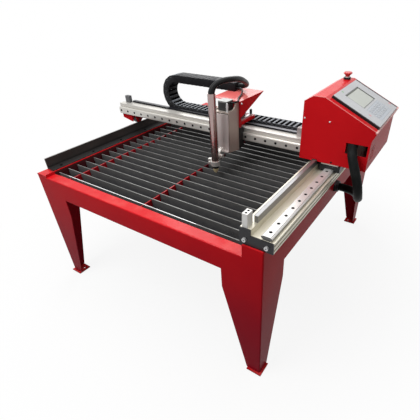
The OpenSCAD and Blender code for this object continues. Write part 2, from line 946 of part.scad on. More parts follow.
module rail_gland() {
    color(black) place() translate([table_w, gland_y, gland_z]) rotate([0, 90, 0]) {
        cylinder(h = gland_l, d = gland_d);
        cylinder(h = gland_l / 2, d = gland_d * 1.2, $fn = 6);
    }
}

// Gantry: bearings and base
module bearing(l, back) {
    difference() {
        translate([-bearing_w / 2, 0, guide_h * 0.4]) cube([bearing_w, l, guide_h * 0.6 + back]);
        translate([-guide_half - slide_fit, -cut, 0])
            cube([(guide_half + slide_fit) * 2, l + cut * 2, guide_h + slide_fit]);
    }
}

module y_bearing_places() {
    for (y = [cons_y0 + shell_t + bearing_end, cons_y1 - shell_t - bearing_end - bearing_l])
        translate([y_guide_x, y, ext_z1]) children();
}

module y_bearings() color(black) place() y_bearing_places() bearing(bearing_l, bearing_cap);

module gantry_base() {
    color(pale_aluminium) place() {
        difference() {
            box(
                [beam_x1 + mount_t, cons_y0 + shell_t, base_z0],
                [cons_x1 - shell_t, cons_y1 - shell_t, base_z1]
            );
            upright(y_pinion_x, y_pinion_y, base_z0 - cut, base_z1 + cut, shaft_d * 1.5);
        }
        y_bearing_places() translate([-bearing_w * 0.4, 0, bearing_z1 - ext_z1])
            cube([bearing_w * 0.8, bearing_l, base_z1 - bearing_z1]);
        box([beam_x1, beam_y, beam_z0], [beam_x1 + mount_t, beam_y + beam_d, beam_z0 + beam_h * mount_z1_share]);
        box([beam_x1, beam_y, base_z0], [beam_x1 + mount_t * 2, beam_y + beam_d, base_z1]);
    }
}

// Gantry: beam
module beam_shape() {
    inner = beam_h - beam_wall * 2;
    translate([beam_y, beam_z0]) difference() {
        union() {
            square([beam_post_d, beam_h]);
            square([beam_d, beam_h - seat_drop]);
        }
        translate([beam_wall, beam_wall]) square([beam_post_d - beam_wall * 2, inner]);
        translate([beam_post_d, beam_wall]) square([beam_d - beam_post_d - beam_wall, inner - seat_drop]);
    }
}

module beam() color(pale_aluminium) place() along_x(beam_x0, beam_x1) beam_shape();

module x_screw_places() {
    span = cons_x0 - beam_x0 - x_guide_inset - x_guide_first * 2;
    for (i = [0 : floor(span / guide_pitch)])
        translate([beam_x0 + x_guide_inset + x_guide_first + i * guide_pitch, beam_y, x_guide_z])
            rotate([90, 0, 0]) children();
}

module x_guide() {
    color(bright_steel) place() difference() {
        translate([0, beam_y, x_guide_z]) rotate([90, 0, 0]) along_x(beam_x0 + x_guide_inset, beam_x1) guide_shape();
        x_screw_places() guide_screw_hole();
    }
}

module x_rack() {
    color(black) place() translate([0, x_rack_y0, beam_z1]) linear_extrude(x_rack_h)
        rack_shape(x_stop_x + stop_l + x_stop_gap, cons_x0 - x_stop_right - x_stop_gap, x_pinion_x, x_rack_w);
}

module x_stops() {
    color(pale_aluminium) place() {
        y1 = beam_y + x_stop_front + stop_w;
        translate([x_stop_x, y1, beam_z1]) rotate(-90) stop_block(stop_l, x_stop_h);
        translate([cons_x0 - x_stop_right, y1, beam_z1]) rotate(-90) stop_block(stop_l * x_stop_l_share, x_stop_h);
    }
}

module console_screw_places() {
    inset_z = cons_z0 + console_h * 0.66;
    for (p = [
        [cons_x0 + console_screw_inset, inset_z], [cons_x0 + console_w * 0.4, inset_z],
        [cons_x0 + console_w * 0.5, cons_z0 + console_screw_inset]
    ]) translate([p[0], cons_y0, p[1]]) rotate([90, 0, 0]) children();
}

module gantry_screws() {
    color(bright_steel) place() {
        x_screw_places() guide_screw();
        console_screw_places() cylinder(h = console_screw_h, d1 = console_screw_d, d2 = console_screw_d * 0.6);
    }
}

// Gantry: left support
module roller_fork() {
    fork_y0 = beam_y + fork_front;
    fork_top = beam_z0 - fork_t;
    color(red) place() {
        box([fork_x0, fork_y0, fork_top], [fork_x1, fork_y0 + fork_l, beam_z0]);
        along_y(fork_y0, fork_y0 + fork_t) polygon([
            [beam_x0 + wing_inset, beam_z0], [fork_x0 + fork_t, beam_z0],
            [fork_x0 + fork_t, roller_z - axle_d], [fork_x0, roller_z - axle_d],
            [beam_x0 + wing_inset, beam_z0 - wing_h]
        ]);
        for (x = [fork_x0, fork_x1 - fork_t]) difference() {
            along_x(x, x + fork_t) polygon([
                [fork_y0, fork_top], [fork_y0, beam_z0], [fork_y0 + fork_l, beam_z0], [fork_y0 + fork_l, fork_top],
                [roller_y + axle_d, roller_z - axle_d], [roller_y - axle_d, roller_z - axle_d]
            ]);
            translate([x - cut, roller_y, roller_z]) rotate([0, 90, 0])
                cylinder(h = fork_t + cut * 2, d = axle_d + run_fit * 2);
        }
    }
}

module track_roller() {
    axle_l = fork_x1 - fork_x0 + fork_t;
    color(black) place() translate([track_x, roller_y, roller_z]) rotate([0, 90, 0]) {
        translate([0, 0, -roller_w / 2]) cylinder(h = roller_w, d = roller_d);
        translate([0, 0, -axle_l / 2]) cylinder(h = axle_l, d = axle_d);
    }
}

// Gantry: console, whose two plates are notched where the rack passes under them
module console_plate(y) {
    difference() {
        along_y(y, y + shell_t) polygon(console_outline);
        box(
            [post_x1 - y_rack_w - rack_notch_gap, y - cut, cons_z0 - cut],
            [post_x1 + rack_notch_gap, y + shell_t + cut, post_z1 + y_rack_h + rack_notch_gap]
        );
    }
}

module console_front() {
    color(red) place() difference() {
        console_plate(cons_y0);
        box([outlet_x, cons_y0 - cut, outlet_z], [outlet_x + outlet_w, cons_y0 + shell_t + cut, outlet_z + outlet_h]);
    }
}

module console_back() color(red) place() console_plate(cons_y1 - shell_t);

// Places things on the sloped face: u down the slope, v to the back, w out of the face
module on_slope() translate([slope_x, 0, cons_z1]) rotate([0, slope_deg, 0]) children();

module console_wrap() {
    color(red) place() difference() {
        along_y(cons_y0 + shell_t, cons_y1 - shell_t) difference() {
            polygon(console_outline);
            polygon(inset(console_outline, shell_t));
            translate([cons_x0 + shell_t, cons_z0 - cut])
                square([console_w - shell_t * 2, shell_t + cut * 2]);
        }
        box(
            [cons_x0 - cut, x_guide_y - beam_door_gap, cons_z0 - cut],
            [cons_x0 + shell_t + cut, chain_y + chain_w + beam_door_gap, beam_z1 + stop_h + beam_door_gap]
        );
        for (i = [0 : vent_count - 1])
            translate([cons_x1 - shell_t - cut, cons_y0 + vent[0] / 2, cons_z0 + console_drop * 4 + i * vent_step])
                cube([shell_t + cut * 2, vent[0], vent[1]]);
        on_slope() box(
            [panel_drop + panel_body_in - panel_hole_play, panel_y + panel_body_in - panel_hole_play, -shell_t * 2],
            [
                panel_drop + panel_w - panel_body_in + panel_hole_play,
                panel_y + panel_l - panel_body_in + panel_hole_play, shell_t
            ]
        );
        upright(estop_x, estop_y, cons_z1 - shell_t - cut, cons_z1 + cut, estop_neck_d + slide_fit * 2);
    }
}

module control_panel() {
    screen_y = panel_y + (panel_l - screen_l) / 2;
    color(bright_steel) place() on_slope() difference() {
        union() {
            box([panel_drop, panel_y, 0], [panel_drop + panel_w, panel_y + panel_l, panel_t]);
            box(
                [panel_drop + panel_body_in, panel_y + panel_body_in, -panel_body_h],
                [panel_drop + panel_w - panel_body_in, panel_y + panel_l - panel_body_in, 0]
            );
        }
        box(
            [panel_drop + screen_drop, screen_y, panel_t - screen_deep],
            [panel_drop + screen_drop + screen_w, screen_y + screen_l, panel_t + cut]
        );
    }
}

module panel_screen() {
    screen_y = panel_y + (panel_l - screen_l) / 2;
    color(dark_steel) place() on_slope() box(
        [panel_drop + screen_drop, screen_y, panel_t - screen_deep],
        [panel_drop + screen_drop + screen_w, screen_y + screen_l, panel_t - screen_deep + screen_t]
    );
}

module panel_keys() {
    key_y = panel_y + (panel_l - key_columns * key_step[1]) / 2;
    color(pale_aluminium) place() on_slope()
        for (row = [0 : key_rows - 1], column = [0 : key_columns - 1])
            translate([panel_drop + key_drop + row * key_step[0], key_y + column * key_step[1], panel_t])
                cube([key_size[0], key_size[1], key_h]);
}

module estop_base() {
    color(black) place() translate([estop_x, estop_y, cons_z1]) difference() {
        cylinder(h = estop_base_h, d = estop_base_d);
        translate([0, 0, -cut]) cylinder(h = estop_base_h + cut * 2, d = estop_neck_d + slide_fit * 2);
    }
}

module estop_button() {
    head_z = estop_base_h + estop_rise;
    color(red) place() translate([estop_x, estop_y, cons_z1]) {
        translate([0, 0, -estop_travel]) cylinder(h = head_z + estop_travel, d = estop_neck_d);
        translate([0, 0, head_z]) cylinder(h = estop_head_h * 0.6, d1 = estop_neck_d, d2 = estop_d);
        translate([0, 0, head_z + estop_head_h * 0.6]) cylinder(h = estop_head_h * 0.2, d = estop_d);
        translate([0, 0, head_z + estop_head_h * 0.8]) cylinder(h = estop_head_h * 0.2, d1 = estop_d, d2 = estop_d * 0.8);
    }
}

// Drives: a square motor standing on z = 0, with a seat for its shaft
module motor(size, l) {
    half = size / 2;
    difference() {
        linear_extrude(l) polygon([
            [-half, -half + motor_corner], [-half + motor_corner, -half],
            [half - motor_corner, -half], [half, -half + motor_corner],
            [half, half - motor_corner], [half - motor_corner, half],
            [-half + motor_corner, half], [-half, half - motor_corner]
        ]);
        translate([0, 0, -cut]) cylinder(h = motor_seat + cut, d = shaft_d + run_fit * 2);
    }
}

module pinion(l, shaft_top) {
    linear_extrude(l) pinion_shape();
    translate([0, 0, l]) cylinder(h = shaft_top - l, d = shaft_d);
}

module y_motor() color(black) place() translate([y_pinion_x, y_pinion_y, base_z1]) motor(motor_size, motor_len);

module y_pinion() {
    z0 = post_z1 + pinion_gap;
    color(bright_steel) place() translate([y_pinion_x, y_pinion_y, z0])
        pinion(y_rack_h - pinion_gap * 2, base_z1 + motor_seat - pinion_gap - z0);
}

module drive_units() {
    wall_x = cons_x1 - shell_t;
    supply_start = supply_origin + supply_points[0];
    color(pale_aluminium) place() {
        translate([supply_start[0] - terminal[0] / 2, supply_start[1], base_z1]) cube(terminal);
        translate([wall_x - supply_box[0] - unit_gap, cons_y1 - shell_t - unit_gap - supply_box[1], base_z1])
            cube(supply_box);
        for (i = [0 : 2])
            translate([
                y_guide_x - driver_box[0] + i * (driver_box[0] + unit_gap / 2),
                cons_y0 + console_d * 0.45, base_z1
            ]) cube(driver_box);
    }
}

// Drag chain: a link from s = 0 to s = l, open side up, with its outer side on z = 0
module straight_link(l) {
    box([link_gap / 2, 0, 0], [l - link_gap / 2, chain_w, link_t]);
    for (y = [0, chain_w - link_t]) box([link_gap / 2, y, 0], [l - link_gap / 2, y + link_t, chain_h]);
    box([link_gap / 2, 0, chain_h - link_bar_t], [l * link_bar_share, chain_w, chain_h]);
}

module chain_lower() {
    color(black) place() for (i = [0 : lower_links - 1])
        translate([chain_bend_x + i * link_l, chain_y, chain_z]) straight_link(link_l);
}

module chain_upper() {
    color(black) place() {
        for (i = [0 : upper_links - 1])
            translate([chain_bend_x + i * link_l, chain_y, cover_z + chain_h]) mirror([0, 0, 1]) straight_link(link_l);
        box([chain_x1 - chain_end_t, chain_y, cover_z], [chain_x1 + chain_end_t, chain_y + chain_w, cover_z + chain_h]);
    }
}

module bend_link(a) {
    out = chain_out_r * sin(a / 2) - link_gap / 2;
    in = chain_in_r * sin(a / 2) - link_gap / 2;
    out_z = -chain_out_r * cos(a / 2);
    in_z = -chain_in_r * cos(a / 2);
    lid = out - (out - in) * link_t / (in_z - out_z);
    for (y = [0, chain_w - link_t])
        along_y(y, y + link_t) polygon([[-out, out_z], [out, out_z], [in, in_z], [-in, in_z]]);
    along_y(0, chain_w)
        polygon([[-out, out_z], [out, out_z], [lid, out_z + link_t], [-lid, out_z + link_t]]);
    box([-in, 0, in_z - link_bar_t], [in * link_bar_share, chain_w, in_z]);
}

module chain_bend() {
    step = 180 / bend_links;
    color(black) place() translate([chain_bend_x, chain_y, chain_z + chain_out_r])
        for (i = [0 : bend_links - 1]) rotate([0, (i + 0.5) * step, 0]) bend_link(step);
}

module supply_lead() {
    color(black) place() translate(supply_origin)
        swept(supply_points, supply_d, supply_side, [0, -1, 0], [-1, 0, 0]);
}

// Carriage
module x_bearings() {
    back = beam_y - car_y1 - guide_h;
    color(black) place() translate([0, beam_y, x_guide_z]) rotate([90, 0, 0])
        for (x = [car_x - car_w / 2 + x_bearing_inset, car_x + car_w / 2 - x_bearing_inset - x_bearing_l])
            translate([x, 0, 0]) rotate(-90) bearing(x_bearing_l, back);
}

module carriage_plate() {
    color(dark_steel) place()
        box([car_x - car_w / 2, lift_y1, car_z0], [car_x + car_w / 2, car_y1, car_z1]);
}

module motor_plate() {
    color(red) place() difference() {
        union() {
            box(
                [motor_plate_x0, car_y1, motor_plate_z],
                [motor_plate_x1, car_y1 + motor_plate_d, motor_plate_z + motor_plate_t]
            );
            box(
                [motor_plate_x1 - motor_plate_t, car_y1, motor_plate_z - motor_lip_h],
                [motor_plate_x1, car_y1 + motor_plate_d, motor_plate_z + motor_plate_t]
            );
        }
        upright(x_pinion_x, x_pinion_y, motor_plate_z - cut, motor_plate_z + motor_plate_t + cut, shaft_d * 1.5);
        upright(
            lever_x, lever_y, motor_plate_z - cut, motor_plate_z + motor_plate_t + cut,
            lever_pin_d + run_fit * 2
        );
    }
}

module x_motor() {
    color(black) place() translate([x_pinion_x, x_pinion_y, motor_plate_z + motor_plate_t])
        motor(motor_size, motor_len);
}

module x_pinion() {
    z0 = beam_z1 + pinion_gap;
    color(bright_steel) place() translate([x_pinion_x, x_pinion_y, z0]) rotate(90)
        pinion(x_rack_h - pinion_gap, motor_plate_z + motor_plate_t + motor_seat - pinion_gap - z0);
}

module chain_cover() {
    y0 = lift_y1;
    color(red) place() {
        box([cover_x0 - cover_reach, y0, car_z1], [cover_x1, y0 + cover_d, cover_z]);
        for (x = [cover_x0, cover_x1 - cover_t]) along_x(x, x + cover_t) polygon([
            [y0, cover_z], [y0 + cover_d, cover_z], [y0 + cover_d, car_z1],
            [y0 + car_t + cover_t, car_z1 - cover_side_h], [y0, car_z1 - cover_side_h]
        ]);
    }
}

module engage_lever() {
    z0 = motor_plate_z + motor_plate_t + slide_fit;
    color(bright_steel) place() translate([lever_x, lever_y, 0]) {
        upright(0, 0, motor_plate_z, z0 + lever_t, lever_pin_d);
        upright(0, 0, z0, z0 + lever_t * 1.6, lever_pin_d * 1.6);
        box([-lever_w / 2, 0, z0], [lever_w / 2, lever_l, z0 + lever_t]);
        upright(0, lever_l, z0, z0 + lever_t, lever_w);
        upright(0, lever_l, z0, z0 + lever_t + knob_h / 2, lever_w * 0.8);
        upright(0, lever_l, z0 + lever_t, z0 + lever_t + knob_h, knob_d);
    }
}

// Lifter
module lift_side(x) {
    ear_y = lift_y1 - ear_d - notch_r;
    difference() {
        along_x(x, x + lift_t) polygon([
            [lift_y0, lift_floor], [lift_y0, lift_z1 + lift_t], [ear_y, lift_z1 + lift_t],
            [ear_y, lift_z1 + lift_ear_h], [lift_y1, lift_z1 + lift_ear_h], [lift_y1, lift_z0]
        ]);
        translate([x - cut, ear_y, lift_z1 + lift_ear_h]) rotate([0, 90, 0]) cylinder(h = lift_t + cut * 2, r = notch_r);
    }
}

module rod_places() for (x = [car_x - rod_step / 2, car_x + rod_step / 2]) translate([x, rod_y, 0]) children();

module lifter_housing() {
    x0 = car_x - lift_w / 2;
    x1 = car_x + lift_w / 2;
    color(pale_aluminium) place() {
        lift_side(x0);
        lift_side(x1 - lift_t);
        difference() {
            union() {
                box([x0, lift_y0, lift_floor], [x1, lift_y1, lift_floor + lift_t]);
                box([x0, lift_y0, lift_z1 - lift_t], [x1, lift_y1, lift_z1]);
            }
            upright(car_x, rod_y, lift_z0 - cut, lift_z1 + cut, rod_d + run_fit * 2);
        }
        box([x0, lift_y1 - lift_t, lift_z0], [x1, lift_y1, lift_z1]);
        rod_places() upright(0, 0, lift_floor, lift_z1, rod_d);
    }
}

module z_screw() {
    color(bright_steel) place() {
        upright(car_x, rod_y, lift_floor, lift_z1, rod_d);
        upright(car_x, rod_y, lift_floor, lift_z1 + motor_seat - pinion_gap, shaft_d);
    }
}

module z_motor() color(black) place() translate([car_x, rod_y, lift_z1]) motor(motor_size, z_motor_len);

module motor_cable() {
    color(black) place() translate(car_origin) swept(cable_points, cable_d, cable_side, [1, 0, 0], [-1, 0, 0]);
}

// Torch lift
module lift_plate() {
    x0 = car_x - lift_w / 2;
    x1 = car_x + lift_w / 2;
    color(pale_aluminium) place() {
        box([x0, plate_y0, plate_z0], [x1, plate_y1, lift_z1 - plate_top_drop]);
        box([x0, plate_y0 - plate_lip[0], plate_z0], [x1, plate_y1, plate_z0 + plate_lip[1]]);
        difference() {
            box(
                [car_x - slider_w / 2, plate_y0, plate_z0 + slider_rise],
                [car_x + slider_w / 2, rod_y + slider_back, plate_z0 + slider_rise + slider_h]
            );
            rod_places() upright(0, 0, lift_z0, lift_z1, rod_d + run_fit * 2);
            upright(car_x, rod_y, lift_z0, lift_z1, rod_d + run_fit * 2);
        }
    }
}

module torch_holder() {
    ring_r = tube_d / 2 + holder_wall;
    arm_x0 = car_x - arm_left;
    lug_x0 = car_x - ring_r - lug_l;
    lug_z1 = holder_z + holder_h + lug_over;
    arm_y1 = plate_y0 - plate_lip[0];
    color(bright_steel) place() {
        difference() {
            union() {
                upright(car_x, torch_y, holder_z, holder_z + holder_h, ring_r * 2);
                along_x(arm_x0, arm_x0 + arm_w) polygon([
                    [torch_y, holder_z], [torch_y, holder_z + holder_h],
                    [arm_y1, plate_z0 + arm_t], [plate_y0, plate_z0 + arm_t],
                    [plate_y0, plate_z0 + plate_lip[1]], [arm_y1, plate_z0 + plate_lip[1]], [arm_y1, plate_z0],
                    [torch_y + ring_r, holder_z]
                ]);
                box([lug_x0, torch_y - lug_w / 2, holder_z], [car_x, torch_y + lug_w / 2, lug_z1]);
            }
            upright(car_x, torch_y, holder_z - cut, plate_z0 + arm_t, tube_d + slide_fit);
            box([lug_x0 - cut, torch_y - lug_slit / 2, holder_z - cut], [car_x, torch_y + lug_slit / 2, lug_z1 + cut]);
        }
        translate([lug_x0 + lug_l / 2, torch_y + lug_w, holder_z + holder_h / 2]) rotate([90, 0, 0])
            cylinder(h = lug_w * 2, d = clamp_screw_d);
        translate([arm_x0 + arm_w / 2, torch_y + clamp_knob_back, holder_z + clamp_knob_rise]) rotate([0, 90, 0])
            cylinder(h = clamp_knob[1] + arm_w / 2, d = clamp_knob[0]);
    }
}

module torch_tube() {
    color(bright_steel) place() difference() {
        upright(car_x, torch_y, tube_z, tube_z + tube_l, tube_d);
        upright(car_x, torch_y, tube_z + tube_l - tube_d, tube_z + tube_l + cut, lead_d + bolt_play);
    }
}

module torch_head() color(black) place() upright(car_x, torch_y, tube_z - head_h, tube_z, head_d);

module torch_tip() {
    color(brass) place() translate([car_x, torch_y, tip_z]) difference() {
        union() {
            cylinder(h = tip_h, d1 = nozzle_d * 0.7, d2 = nozzle_d);
            translate([0, 0, tip_h]) cylinder(h = shield_h, d1 = shield_d[1], d2 = shield_d[0]);
        }
        translate([0, 0, -cut]) cylinder(h = tip_h + cut, d = nozzle_bore);
    }
}

module torch_lead() {
    color(black) place() translate(car_origin) swept(lead_points, lead_d, lead_side, [1, 0, 0], [0, 0, -1]);
}

front_rail();
rear_rail();
left_rail();
right_rail();
leg_front_left();
leg_front_right();
leg_rear_left();
leg_rear_right();
slats();
slat_supports();
slag_tray();
track_angle();
y_extrusion();
y_guide();
y_rack();
y_end_plates();
y_stops();
rail_screws();
rail_gland();
y_bearings();
gantry_base();
beam();
x_guide();
x_rack();
x_stops();
gantry_screws();
roller_fork();
track_roller();
console_front();
console_back();
console_wrap();
control_panel();
panel_screen();
panel_keys();
estop_base();
estop_button();
y_motor();
y_pinion();
drive_units();
chain_lower();
chain_bend();
chain_upper();
supply_lead();
x_bearings();
carriage_plate();
motor_plate();
x_motor();
x_pinion();
chain_cover();
engage_lever();
lifter_housing();
z_screw();
z_motor();
motor_cable();
lift_plate();
torch_holder();
torch_tube();
torch_head();
torch_tip();
torch_lead();
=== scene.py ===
# %% [markdown]
# # A plasma cutting table
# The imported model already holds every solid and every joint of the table. This lesson gives it
# its looks: a camera, three cables, a drag chain, finishes for paint and metal, and soft light.
# Places are written in millimetres from the front left leg corner, as a workshop would measure them.

# %% Load the solids
import math

import bmesh
import bpy
from mathutils import Matrix, Vector


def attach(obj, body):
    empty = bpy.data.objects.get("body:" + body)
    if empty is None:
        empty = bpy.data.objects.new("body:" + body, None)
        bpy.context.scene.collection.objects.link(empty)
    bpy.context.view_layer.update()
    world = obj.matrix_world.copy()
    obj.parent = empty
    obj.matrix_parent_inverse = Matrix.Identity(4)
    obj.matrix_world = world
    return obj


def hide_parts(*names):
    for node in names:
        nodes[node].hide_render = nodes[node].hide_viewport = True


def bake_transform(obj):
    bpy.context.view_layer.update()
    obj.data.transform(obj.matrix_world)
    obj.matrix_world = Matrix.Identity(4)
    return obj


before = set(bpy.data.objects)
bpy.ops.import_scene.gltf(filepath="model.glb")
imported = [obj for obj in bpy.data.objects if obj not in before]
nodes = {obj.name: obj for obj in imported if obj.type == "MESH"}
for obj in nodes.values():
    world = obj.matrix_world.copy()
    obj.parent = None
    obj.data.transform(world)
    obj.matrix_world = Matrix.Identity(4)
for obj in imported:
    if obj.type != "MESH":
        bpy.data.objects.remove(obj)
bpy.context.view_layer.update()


middle_x, middle_y = 734, 752


def at(x, y, z):
    """A workshop point in millimetres, as metres in the model's frame, whose origin is mid-table."""
    return Vector(((x - middle_x) / 1000, (y - middle_y) / 1000, z / 1000))


# %% [markdown]
# ## The camera
# The photograph was taken from the front right, above the bed, with a fairly wide lens. The camera
# stands where the table's corners say it stood. A small lens shift sets the framing, because
# turning the camera instead would change the perspective.

# %% Place the camera
camera = bpy.data.objects.new("camera", bpy.data.cameras.new("camera"))
bpy.context.scene.collection.objects.link(camera)
bpy.context.scene.camera = camera
forward = Vector((-0.4455, 0.6835, -0.5783)).normalized()
rightward = Vector((0.8441, 0.536, -0.0168)).normalized()
upward = rightward.cross(forward)
turn = Matrix((rightward, upward, -forward)).transposed().to_4x4()
camera.matrix_world = Matrix.Translation(at(1803.6, -799.3, 1509.8)) @ turn
camera.data.sensor_width = 36
camera.data.lens = 29.07
camera.data.shift_x = -0.0676
camera.data.shift_y = 0.0331
print("camera at", [round(a, 3) for a in camera.matrix_world.translation])

# %% [markdown]
# ## Cables
# Three loose cables are seen: the torch lead, the lift motor's cable and the thick supply lead.
# A bevelled curve would be quicker, but each cable is a mesh tube. Each route is a list of
# points with a smooth curve through it, and the tube is carried along without twisting.

# %% Helpers for cables
def smooth_route(points, head, tail, steps=6):
    """A curve through the points that leaves along head and arrives along tail."""
    before = points[0] - Vector(head) * (points[1] - points[0]).length
    after = points[-1] + Vector(tail) * (points[-1] - points[-2]).length
    knots = [before, *points, after]
    made = []
    for a, b, c, d in zip(knots, knots[1:], knots[2:], knots[3:]):
        for i in range(steps):
            t = i / steps
            cubic = (b * 3 - a - c * 3 + d) * t**3
            made.append((b * 2 + (c - a) * t + (a * 2 - b * 5 + c * 4 - d) * t**2 + cubic) * 0.5)
    return [*made, points[-1]]


def ring_axes(path, i, side):
    """The two axes of a tube's ring at point i of its path, kept free of twist."""
    along = (path[min(i + 1, len(path) - 1)] - path[max(i - 1, 0)]).normalized()
    side = (side - along * side.dot(along)).normalized()
    return side, along.cross(side)


def add_tube(shape, path, radii, sides=16):
    """Adds a closed tube with a radius at each point of its path."""
    side = (path[1] - path[0]).orthogonal().normalized()
    angles = [k * math.tau / sides for k in range(sides)]
    rings = []
    for i, point in enumerate(path):
        side, over = ring_axes(path, i, side)
        spokes = [side * math.cos(a) + over * math.sin(a) for a in angles]
        rings.append([shape.verts.new(point + spoke * radii[i]) for spoke in spokes])
    for low, high in zip(rings, rings[1:]):
        for k in range(sides):
            shape.faces.new((low[k], low[(k + 1) % sides], high[(k + 1) % sides], high[k]))
    shape.faces.new(reversed(rings[0]))
    shape.faces.new(rings[-1])


def piece(name, shape, body=None, sharp=38):
    """Turns a bmesh into an object of the scene that rides on a body."""
    mesh = bpy.data.meshes.new(name)
    bmesh.ops.recalc_face_normals(shape, faces=shape.faces)
    shape.to_mesh(mesh)
    shape.free()
    mesh.shade_smooth()
    mesh.set_sharp_from_angle(angle=math.radians(sharp))
    made = bpy.data.objects.new(name, mesh)
    bpy.context.scene.collection.objects.link(made)
    if body:
        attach(made, body)
    return made


def path_length(path):
    return sum((b - a).length for a, b in zip(path, path[1:]))


# %% The torch lead
lead_d = 0.026
lead_route = [
    at(761, 830, 1058), at(782, 829.5, 1059.5), at(801.5, 824, 1063.5), at(818, 813.5, 1070.5),
    at(831, 799.5, 1078.5), at(844, 774.5, 1091), at(855.5, 747, 1102.5), at(866, 716, 1115),
    at(876, 682, 1128), at(883, 647, 1139), at(886.5, 612, 1147), at(886, 580, 1151.5),
    at(880, 551.5, 1154), at(870.5, 533, 1153.3), at(858, 517, 1148), at(850.9, 509.7, 1143.8),
    at(845, 503.5, 1138), at(839.5, 498.5, 1130.6), at(835, 494.5, 1122), at(831.8, 491.6, 1112.3),
    at(830, 490, 1102),
]
lead_path = smooth_route(lead_route, (1, 0, 0), (0, 0, -1))
shape = bmesh.new()
add_tube(shape, lead_path, [lead_d / 2] * len(lead_path), 24)
torch_lead = piece("torch_lead_jacket", shape)
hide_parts("torch_lead")
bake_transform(torch_lead)

boot_length, boot_radius, boot_taper = 0.034, 0.0162, 0.0026
boot_path = [p for p in reversed(lead_path) if (p - lead_path[-1]).length < boot_length]
narrowing = boot_taper / (len(boot_path) - 1)
shape = bmesh.new()
add_tube(shape, boot_path, [boot_radius - narrowing * i for i in range(len(boot_path))], 24)
lead_boot = piece("torch_lead_boot", shape, "torch_lift")
path_length(lead_path)
print("torch lead", round(path_length(lead_path), 3), "m")

# %% The lift motor's cable
cable_d = 0.008
cable_route = [
    at(858.5, 598, 1037), at(870, 598.5, 1038), at(881, 604, 1040), at(887, 616, 1041),
    at(885, 631, 1042), at(875, 648, 1042), at(861, 671, 1041.5), at(849, 702, 1041.5),
    at(840, 731, 1043), at(829, 758, 1048), at(814, 780, 1053), at(795, 795, 1055),
    at(778, 802, 1053), at(761, 804, 1050),
]
cable_path = smooth_route(cable_route, (1, 0, 0), (-1, 0, 0))
shape = bmesh.new()
add_tube(shape, cable_path, [cable_d / 2] * len(cable_path), 14)
motor_cable = piece("motor_cable_jacket", shape, "carriage")
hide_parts("motor_cable")
path_length(cable_path)
print("motor cable", round(path_length(cable_path), 3), "m")

# %% The supply lead
supply_d = 0.04
supply_route = [
    at(1470, 664, 939), at(1470, 640, 938.5), at(1472, 616, 934.5), at(1478, 593, 924.5),
    at(1488, 573, 907), at(1501, 559, 883), at(1515, 551, 854.5), at(1528, 549, 823),
    at(1537, 553, 790.5), at(1541, 564, 758), at(1541, 583, 729), at(1538, 609, 704),
    at(1533, 641, 684), at(1524, 676, 670), at(1510, 710, 661), at(1490, 739, 654),
    at(1464, 760, 649), at(1435, 771, 646), at(1404.5, 773, 645),
]
supply_path = smooth_route(supply_route, (0, -1, 0), (-1, 0, 0))
shape = bmesh.new()
add_tube(shape, supply_path, [supply_d / 2] * len(supply_path), 28)
supply_lead = piece("supply_lead_sleeve", shape)
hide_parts("supply_lead")
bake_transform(supply_lead)
path_length(supply_path)
print("supply lead", round(path_length(supply_path), 3), "m")

# %% [markdown]
# ## Writing finishes
# A finish is a small graph of shader nodes. Clicking nodes together works, but it hides the sums.
# Here one class holds an output socket and understands +, - and *, so that a mask is written as a
# sum in Python. Any other kind of node comes from a graph's single node method.

# %% Sockets that do arithmetic
class Wire:
    """An output socket of a graph; sums with it add Math nodes."""

    def __init__(self, graph, socket):
        self.graph = graph
        self.socket = socket

    def math(self, operation, first, second):
        return self.graph.node("ShaderNodeMath", {"operation": operation}, {0: first, 1: second})

    def __add__(self, other):
        return self.math("ADD", self, other)

    def __radd__(self, other):
        return self.math("ADD", other, self)

    def __sub__(self, other):
        return self.math("SUBTRACT", self, other)

    def __rsub__(self, other):
        return self.math("SUBTRACT", other, self)

    def __mul__(self, other):
        return self.math("MULTIPLY", self, other)

    def __rmul__(self, other):
        return self.math("MULTIPLY", other, self)


class Graph:
    """A tree of shader nodes that is written as expressions."""

    def __init__(self, tree):
        self.tree = tree

    def link(self, socket, value):
        if isinstance(value, Wire):
            self.tree.links.new(value.socket, socket)
        else:
            socket.default_value = value

    def node(self, kind, settings=None, sockets=None, output=0):
        made = self.tree.nodes.new(kind)
        for name, value in (settings or {}).items():
            setattr(made, name, value)
        for key, value in (sockets or {}).items():
            self.link(made.inputs[key], value)
        return Wire(self, made.outputs[output])

    def band(self, value, low, high):
        """0 below low and 1 above high, with a soft step between."""
        smooth = {"interpolation_type": "SMOOTHSTEP"}
        return self.node("ShaderNodeMapRange", smooth, {0: value, 1: low, 2: high})

    def seen(self):
        """1 for rays that show the surroundings: from the camera, off gloss or through glass."""
        rays = ("Is Camera Ray", "Is Glossy Ray", "Is Transmission Ray")
        return self.band(sum(self.node("ShaderNodeLightPath", output=ray) for ray in rays), 0, 1)


